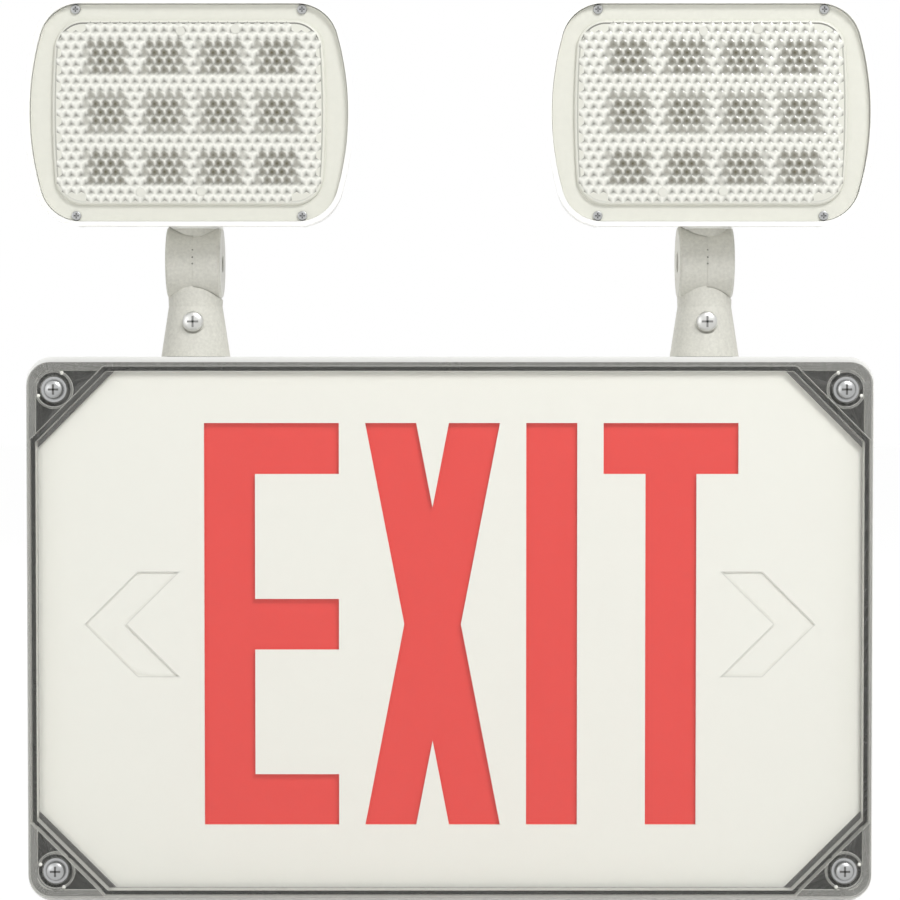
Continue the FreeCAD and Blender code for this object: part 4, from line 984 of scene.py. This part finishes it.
def add_cell(mesh, cell_light, template, place, sizes, share):
    """Copy the cell to its place and paint its light: the diodes' picture in the middle, and
    painted shade at every other corner, a joint of three cells.
    """
    white, mark = linear(CELL_WHITE), linear(CELL_CREASE_SHADE)
    grey, diode_picture = linear(CELL_CUP_SHADE), linear(CELL_DIODE_PICTURE)
    before = len(mesh.verts)
    mesh.from_mesh(template)
    mesh.verts.ensure_lookup_table()
    for vert in mesh.verts[before:]:
        far = math.hypot(vert.co.x, vert.co.z) / sizes.cell_pitch
        turn = math.degrees(math.atan2(vert.co.z, vert.co.x))
        joint = abs(turn % 120 - 90) < JOINT_TURN
        if far < CELL_MIDDLE:
            colour = mix_colour(white, diode_picture, share)
        elif far < CELL_FLANK:
            plain = mix_colour(white, mark, FLANK_CREASE_SHADE if joint else 0.0)
            colour = mix_colour(plain, mix_colour(grey, diode_picture, FLANK_DIODE_PICTURE), share)
        else:
            colour = mix_colour(mark, shade(grey, JOINT_SHADE), share) if joint else white
        vert[cell_light] = (*colour, 1.0)
        vert.co += Vector(place)


def mix_colour(first, second, share):
    return tuple(a + (b - a) * share for a, b in zip(first, second))


class EXITLIGHT_OT_stage(bpy.types.Operator):
    """Stand the sign on a pale floor under soft studio lamps"""
    bl_idname = "exit_light.stage"
    bl_label = "Stage, lamps and camera"

    def execute(self, context):
        # colours shown as they are, with no film-like curve
        context.scene.view_settings.view_transform = "Standard"
        make_floor()
        make_world()
        make_lamps()
        make_camera(context.scene.exit_light_stage)
        return {"FINISHED"}


def make_floor():
    """A wide pale floor at the height of the light's lowest edge."""
    mesh = bmesh.new()
    bmesh.ops.create_grid(mesh, x_segments=1, y_segments=1, size=FLOOR_REACH)
    bmesh.ops.translate(mesh, verts=mesh.verts, vec=(0.0, 0.0, CAD_BOX[0][2]))
    data = bpy.data.meshes.new("floor")
    mesh.to_mesh(data)
    mesh.free()
    floor = bpy.data.objects.new("floor", data)
    bpy.context.scene.collection.objects.link(floor)
    floor.data.materials.append(floor_paint())


def seen_straight(tree):
    """1 for what the camera sees itself, in a mirror or through something clear."""
    path = add_node(tree, "ShaderNodeLightPath")
    mirror = add_node(tree, "ShaderNodeMath", {"operation": "MAXIMUM"},
                      {0: path.outputs["Is Camera Ray"], 1: path.outputs["Is Glossy Ray"]})
    either = add_node(tree, "ShaderNodeMath", {"operation": "MAXIMUM"},
                      {0: mirror.outputs[0], 1: path.outputs["Is Transmission Ray"]})
    return either.outputs[0]


def floor_paint():
    """Matt white paint that the camera and mirrors see as plain white, with its shadows."""
    material, tree, shader = new_material("floor_paint", linear("#F4F4F2"), 0.9)
    share = add_node(tree, "ShaderNodeMath", {"operation": "MULTIPLY"},
                     {0: seen_straight(tree)})
    share.inputs[1].default_value = FLOOR_SHARE
    glow = add_node(tree, "ShaderNodeEmission", {"Strength": FLOOR_GLOW})
    mix = add_node(tree, "ShaderNodeMixShader", links={
        "Fac": share.outputs[0], 1: shader.outputs["BSDF"], 2: glow.outputs["Emission"]})
    output = [node for node in tree.nodes if node.type == "OUTPUT_MATERIAL"][0]
    tree.links.new(mix.outputs["Shader"], output.inputs["Surface"])
    return material


def make_world():
    """Even studio light; straight on, the world is plain white."""
    world = bpy.data.worlds.new("studio")
    bpy.context.scene.world = world
    world.use_nodes = True
    tree = world.node_tree
    tree.nodes.clear()
    soft = add_node(tree, "ShaderNodeBackground", {"Strength": WORLD_LIGHT})
    white = add_node(tree, "ShaderNodeBackground", {"Strength": 1.0})
    for background in (soft, white):
        background.inputs["Color"].default_value = (1.0, 1.0, 1.0, 1.0)
    mix = add_node(tree, "ShaderNodeMixShader", links={
        "Fac": seen_straight(tree), 1: soft.outputs[0], 2: white.outputs[0]})
    add_node(tree, "ShaderNodeOutputWorld", links={"Surface": mix.outputs[0]})


def make_lamps():
    """A broad lamp above and in front, a weaker one from the left and one behind."""
    add_lamp("key_lamp", (0.65, -1.1, 1.3), 0.6, 19.5)
    add_lamp("fill_lamp", (-1.2, -1.4, 0.3), 1.0, 5.5)
    add_lamp("back_lamp", (-0.8, 1.5, 0.9), 0.8, 11.0)


def add_lamp(name, place, size, power):
    data = bpy.data.lights.new(name, "AREA")
    data.size = size
    data.energy = power
    lamp = bpy.data.objects.new(name, data)
    bpy.context.scene.collection.objects.link(lamp)
    lamp.location = place
    lamp.rotation_euler = (Vector(AIM) - Vector(place)).to_track_quat("-Z", "Y").to_euler()


def make_camera(sizes):
    """A long lens that looks slightly down at the middle of the whole light."""
    data = bpy.data.cameras.new("camera")
    data.sensor_width = SENSOR
    data.lens = SENSOR * sizes.camera_distance / sizes.view_width
    data.clip_end = CAMERA_FAR
    camera = bpy.data.objects.new("camera", data)
    bpy.context.scene.collection.objects.link(camera)
    legend_low, _ = node_box("legend_plate")
    back = sizes.camera_distance * math.cos(sizes.camera_pitch)
    up = sizes.camera_distance * math.sin(sizes.camera_pitch)
    camera.location = (0.0, legend_low.y - back, sizes.aim_height + up)
    camera.rotation_euler = (math.pi / 2 - sizes.camera_pitch, 0.0, 0.0)
    bpy.context.scene.camera = camera


# ---------------------------------------------------------------- panel and registration

OPERATORS = (
    EXITLIGHT_OT_finishes, EXITLIGHT_OT_cover, EXITLIGHT_OT_chevrons, EXITLIGHT_OT_screws,
    EXITLIGHT_OT_windows, EXITLIGHT_OT_lenses, EXITLIGHT_OT_marks, EXITLIGHT_OT_stage)
GROUPS = {
    "exit_light_lens": LensSizes,
    "exit_light_cover": CoverSizes,
    "exit_light_screws": ScrewSizes,
    "exit_light_marks": MarkSizes,
    "exit_light_stage": StageSizes,
    "exit_light_finishes": Finishes,
}


class EXITLIGHT_PT_panel(bpy.types.Panel):
    """Sizes, colours and steps of the exit light"""
    bl_idname = "EXITLIGHT_PT_panel"
    bl_label = "Exit Light"
    bl_space_type = "VIEW_3D"
    bl_region_type = "UI"
    bl_category = "Exit Light"

    def draw(self, context):
        for name, group in GROUPS.items():
            box = self.layout.box()
            for prop in group.__annotations__:
                box.prop(getattr(context.scene, name), prop)
        for operator in OPERATORS:
            self.layout.operator(operator.bl_idname)


def register():
    for group in GROUPS.values():
        bpy.utils.register_class(group)
    for name, group in GROUPS.items():
        setattr(bpy.types.Scene, name, PointerProperty(type=group))
    for operator in OPERATORS:
        bpy.utils.register_class(operator)
    bpy.utils.register_class(EXITLIGHT_PT_panel)


def unregister():
    bpy.utils.unregister_class(EXITLIGHT_PT_panel)
    for operator in reversed(OPERATORS):
        bpy.utils.unregister_class(operator)
    for name in GROUPS:
        delattr(bpy.types.Scene, name)
    for group in GROUPS.values():
        bpy.utils.unregister_class(group)


def main():
    register()
    for operator in OPERATORS:
        family, name = operator.bl_idname.split(".")
        getattr(getattr(bpy.ops, family), name)()


if __name__ == "__main__":
    main()
